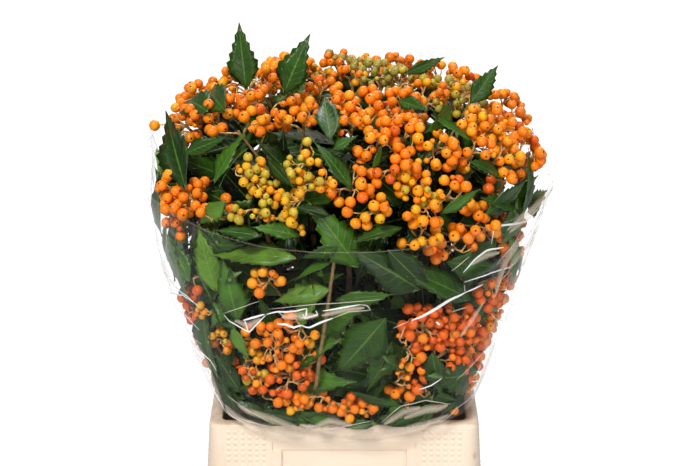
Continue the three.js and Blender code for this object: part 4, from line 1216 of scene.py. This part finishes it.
# Broad doubled patches, the same way: pale strips of doubled film, partly painted sheen where the lamps'
# broad highlights fall on the film.
PATCHES_AND_SHEEN_SEEN = [
    (11, (404, 418), (424, 410), (446, 404)), (9, (384, 424), (404, 412), (420, 407)),
    (7, (460, 337), (470, 322), (482, 302)),
    (9, (282, 317), (300, 316), (318, 315)), (7, (322, 315), (345, 309), (364, 307)),
    (8, (540, 196), (522, 214), (506, 230)), (9, (514, 240), (506, 262), (497, 285)),
    (8, (470, 264), (484, 256), (498, 252)), (12, (552, 182), (532, 204), (508, 232)),
    (14, (542, 224), (526, 246), (508, 268)), (12, (524, 236), (504, 262), (494, 296)),
    (10, (154, 226), (162, 256), (172, 286)), (10, (196, 340), (208, 366), (222, 398)),
    (12, (226, 404), (262, 428), (310, 436)), (12, (350, 436), (400, 432), (448, 414)),
    (10, (240, 404), (272, 418), (304, 430)), (9, (312, 428), (330, 420), (352, 424)),
    (9, (300, 424), (336, 432), (372, 432)),
    (8, (236, 320), (250, 325), (262, 318)), (12, (470, 398), (484, 372), (494, 342)),
]


def on_sleeve(across, down):
    """The place on the film that shows there or next to it, as its run round the film and its height."""
    marks = np.array(EYE) + np.outer(np.arange(1750, 2350, 2.0), np.array(sight(across, down)))
    reach = film_reach(marks)
    out = np.hypot(marks[:, 0], marks[:, 1]) - reach
    out[(marks[:, 2] < RIM - 10) | on_rim(marks, 4) | (reach > CROWN_HALF + 20)] = 99
    p = marks[(out < 0).argmax() if (out < 0).any() else out.argmin()]
    return np.array([math.atan2(p[1], p[0]) * FILM_RADIUS, p[2]])


def run_of_sleeve(spots):
    """The places on the film that show there, their runs counted on where they pass its far side."""
    places = [on_sleeve(*spot) for spot in spots]
    runs = np.unwrap([place[0] for place in places], period=2 * math.pi * FILM_RADIUS)
    return [np.array([run, place[1]]) for run, place in zip(runs, places)]


creases = []
for x0, y0, x1, y1, deep, wide in CREASES_SEEN:
    creases.append((*run_of_sleeve([(x0, y0), (x1, y1)]), deep, wide))
folds = []
for width, *spots in FOLD_HIGHLIGHTS_SEEN + PATCHES_AND_SHEEN_SEEN:
    folds.append((width, run_of_sleeve(spots)))
random = seeded(4000)
for number in range(FILM_CREASES):
    angle = 2 * math.pi * random()
    start = np.array([(angle - math.pi) * FILM_RADIUS, RIM + 4 + 215 * random() ** 1.3])
    lean = (random() - 0.5) * (1.7 if random() < 0.3 else 0.7)
    length = 30 + 70 * random()
    deep = (1.0 + 1.4 * random()) * (1 if random() < 0.7 else -1)
    if -2.75 < angle - math.pi < -0.35:  # the front has its own
        continue
    end = start + np.array([lean * length, length])
    creases.append((start, end, deep, 3 + 2 * random()))
    # Each random crease also gets a thin strip of painted highlight along it.
    bend = np.array([8 * random() - 4, 0])
    folds.append((0.6 + 1.2 * random(), [start, (start + end) / 2 + bend, end]))

bm = bmesh.new()
grid = bmesh.ops.create_grid(bm, x_segments=FILM_AROUND, y_segments=FILM_UP, size=1)["verts"]
spots = [(round((v.co.x + 1) / 2 * FILM_AROUND), round((v.co.y + 1) / 2 * FILM_UP)) for v in grid]
outs, ups = np.zeros((FILM_AROUND, FILM_UP + 1)), np.zeros((FILM_AROUND, FILM_UP + 1))
angles = 2 * math.pi * np.arange(FILM_AROUND) / FILM_AROUND - math.pi
for column, angle in enumerate(angles):
    out, up = film_profile(angle, HANGING)
    tip = EARS[0] * math.exp(-((abs(angle) - WELDS[0]) ** 2) / 0.006)
    tip += EARS[1] * math.exp(-((angle - WELDS[1]) ** 2) / 0.012)
    share = np.maximum(0, (FILM_ROWS[:, 0] - 180) / 45)
    up, out = up + share * tip, out - share * tip * 0.3
    run = np.concatenate([[0], np.cumsum(np.hypot(np.diff(out), np.diff(up)))])
    marks = np.linspace(0, run[-1], FILM_UP + 1)
    out, up = np.interp(marks, run, out), np.interp(marks, run, up)
    for soften in range(3):
        out[1:-1] = (out[:-2] + 2 * out[1:-1] + out[2:]) / 4
        up[1:-1] = (up[:-2] + 2 * up[1:-1] + up[2:]) / 4
    outs[column], ups[column] = out, up
angle_here = np.repeat(angles[:, None], FILM_UP + 1, axis=1)
round_run = angle_here * FILM_RADIUS
push = np.zeros_like(outs)
for start, end, deep, wide in creases:
    along = end - start
    share = ((round_run - start[0]) * along[0] + (ups - start[1]) * along[1]) / (along @ along)
    held = np.clip(share, 0, 1)
    off_x, off_y = round_run - start[0] - along[0] * held, ups - start[1] - along[1] * held
    distance = np.hypot(off_x, off_y)
    fade = np.clip(5 * (0.5 - np.abs(share - 0.5)), 0, 1)
    gentle = off_x * along[1] - off_y * along[0] > 0
    push += deep * np.exp(-distance / (wide * np.where(gentle, 1.6, 0.6))) * fade
push += 0.9 * np.sin(9 * angle_here + ups / 21) + 0.5 * np.sin(23 * angle_here - ups / 13)
push *= 1 - 0.7 * np.clip(1 - np.abs(ups - RIM) / 25, 0, 1)
outs += push
for v, (column, row) in zip(grid, spots):
    column %= FILM_AROUND
    out, angle = outs[column, row], angles[column]
    v.co = Vector((out * math.cos(angle), out * math.sin(angle), ups[column, row]))
bmesh.ops.remove_doubles(bm, verts=bm.verts, dist=0.01)
bmesh.ops.recalc_face_normals(bm, faces=bm.faces)


def column_at(run):
    """The film's column at a run round it, with its fraction."""
    return (run / FILM_RADIUS + math.pi) / (2 * math.pi) * FILM_AROUND


def lowest_row(run):
    """The nearest column of the film, and its row that hangs lowest over the rim."""
    column = round(column_at(run)) % FILM_AROUND
    return column, np.where(outs[column] > 148, ups[column], 9999).argmin()


def on_film(run, row, off):
    """The film's surface at a run round it and a row of it, and the way out there."""
    before, share = int(column_at(run) // 1), column_at(run) % 1
    row = max(0, min(FILM_UP - 0.001, row))
    low, part = int(row), row % 1
    corners = []
    for c, weight in ((before % FILM_AROUND, 1 - share), ((before + 1) % FILM_AROUND, share)):
        for r, more in ((low, 1 - part), (low + 1, part)):
            corners.append((outs[c, r] * weight * more, ups[c, r] * weight * more))
    out, up = np.sum(corners, axis=0)
    way = Vector((math.cos(run / FILM_RADIUS), math.sin(run / FILM_RADIUS), 0))
    return way * (out + off) + Vector((0, 0, up)), way


def add_strip(marks, width, taper, kind, off=0.4):
    """Lays a narrow strip along runs and rows of the film, a little off it: doubled film, or painted
    highlight along a fold.
    """
    line = [on_film(run, row, off) for run, row in marks]
    last = []
    for i, (at, way) in enumerate(line):
        along = line[min(i + 1, len(line) - 1)][0] - line[max(i - 1, 0)][0]
        side = along.cross(way).normalized()
        half = width / 2 * (math.sin(math.pi * (i + 0.4) / (len(line) - 0.2)) ** 0.5 if taper else 1)
        pair = [bm.verts.new(at + side * half), bm.verts.new(at - side * half)]
        if last:
            bm.faces.new((last[0], last[1], pair[1], pair[0])).material_index = kind
        last = pair


def row_at(run, height):
    """The film's row at that height."""
    column, low = lowest_row(run)
    return float(np.interp(height, ups[column][low:], np.arange(low, FILM_UP + 1)))


for width, spots in folds:
    run = np.concatenate([[0], np.cumsum([np.linalg.norm(b - a) for a, b in zip(spots, spots[1:])])])
    marks = np.linspace(0, run[-1], max(6, int(run[-1] / FOLD_STEP)))
    runs, heights = (np.interp(marks, run, [spot[k] for spot in spots]) for k in (0, 1))
    places = [(r, row_at(r, height)) for r, height in zip(runs, heights)]
    # Narrow strips are painted highlights: white along the brighter folds, cream along the faint ones.
    if width < 5:
        add_strip(places, width, True, 1 if width > 1.3 else 3, 0.4)
    else:  # a doubled patch fades out at its edges
        # The patch's stacked strips are doubled film and painted sheen.
        for layer, share in enumerate((1.0, 0.72, 0.44, 0.2)):
            add_strip(places, width * share, True, 2, 0.4 + 0.2 * layer)
for angle in WELDS:
    rows = np.linspace(20, FILM_UP - 0.01, 60)
    add_strip([(angle * FILM_RADIUS, row) for row in rows], SEAM, False, 2)
runs = np.linspace(-math.pi, math.pi, 401) * FILM_RADIUS
add_strip([(run, FILM_UP - 0.6) for run in runs], HEM, False, 2)
runs = np.linspace(-0.86 * math.pi, -0.14 * math.pi, 120) * FILM_RADIUS
add_strip([(run, lowest_row(run)[1] - 0.5) for run in runs], SEAM, True, 2)

# Clear biaxial polypropylene film: see-through face on, mirror-bright along folds and at a glance.
film_skin, tree, shader = finish_of("clear_polypropylene_film", Roughness=0.0, Metallic=1.0)
shader.inputs["Base Color"].default_value = linear("#DCDBDB")
place = node(tree, "ShaderNodeTexCoord").outputs["Object"]
crinkled = bumped(tree, shader, noise(tree, place, 45, 2.0, Distortion=0.8), 0.5, 3)
glance = node(tree, "ShaderNodeLayerWeight", {"Blend": 0.25}, Normal=crinkled).outputs["Facing"]
veil = worked(tree, "MULTIPLY_ADD", worked(tree, "POWER", glance, 2.6), 0.75, 0.008)
tree.links.new(veil, shader.inputs["Alpha"])
# The same film where it lies double along folds, welds and the cut edge. The white and cream strips along
# the folds are painted highlights, the lamps' glint on them, and the pale patches are doubled film with
# painted sheen.
fold_highlight_skin = finish_of("film_fold_highlight", Base_Color=(1, 1, 1, 1), Roughness=0.22, Alpha=0.85)[0]
patch_and_sheen_skin = finish_of("doubled_film_and_painted_sheen", Base_Color=linear("#FFEBD2"), Roughness=0.3, Alpha=0.14)[0]
crease_highlight_skin = finish_of("film_crease_highlight", Base_Color=linear("#F6EBDC"), Roughness=0.25, Alpha=0.55)[0]

film = to_object("film_sleeve_creased", bm, [film_skin, fold_highlight_skin, patch_and_sheen_skin, crease_highlight_skin])
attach(film, "root")
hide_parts("film_sleeve")

# Studio
# A white sweep under soft light from above and both sides, as a cut-flower catalogue is lit.
def seen_directly(tree):
    """1 for what is seen straight, through the film or in a mirror, and 0 for the light that it casts."""
    rays = node(tree, "ShaderNodeLightPath").outputs
    return worked(tree, "MAXIMUM", rays["Is Camera Ray"], rays["Is Singular Ray"])


bm = bmesh.new()
bmesh.ops.create_grid(bm, x_segments=1, y_segments=1, size=8000)
sweep_paint, tree, shader = finish_of("white_sweep", Base_Color=linear("#8C8C8C"), Roughness=0.9)
shader.inputs["Emission Color"].default_value = (1, 1, 1, 1)
glow = worked(tree, "MULTIPLY_ADD", seen_directly(tree), 0.54, 0.36)
tree.links.new(glow, shader.inputs["Emission Strength"])
floor = to_object("floor", bm, [sweep_paint])

world = bpy.data.worlds.new("studio")
bpy.context.scene.world = world
world.use_nodes = True
tree = world.node_tree
sky = tree.nodes["Background"]
sky.inputs["Color"].default_value = (1, 1, 1, 1)
sky.inputs["Strength"].default_value = 0.13
white = node(tree, "ShaderNodeBackground", {"Color": (1, 1, 1, 1), "Strength": 1.1})
straight = seen_directly(tree)
both = node(tree, "ShaderNodeMixShader", {}, _0=straight, _1=sky.outputs[0], _2=white.outputs[0])
tree.links.new(both.outputs[0], tree.nodes["World Output"].inputs["Surface"])

LIGHTS = [  # name, place and aim in metres, size across and up, watts
    ("key", (-1.0, -2.0, 2.9), (0, 0, 0.45), (0.8, 0.6), 92),
    ("fill", (2.0, -1.8, 1.6), (0, 0, 0.4), (0.5, 1.2), 18),
    ("strip", (0.3, -2.6, 0.6), (0, 0, 0.35), (1.5, 0.2), 12),
    ("top", (0.2, 0.6, 2.6), (0, 0, 0.5), (1.2, 1.0), 24),
    ("back", (0.5, 2.4, 1.7), (0, 0, 0.35), (1.4, 1.0), 22),
]
for name, at, aim, size, power in LIGHTS:
    lamp = bpy.data.objects.new(name, bpy.data.lights.new(name, "AREA"))
    lamp.data.shape = "RECTANGLE"
    lamp.data.size, lamp.data.size_y = size
    lamp.data.energy = power
    lamp.location = at
    lamp.rotation_euler = (Vector(aim) - Vector(at)).to_track_quat("-Z", "Y").to_euler()
    bpy.context.scene.collection.objects.link(lamp)
bpy.context.scene.view_settings.view_transform = "Standard"
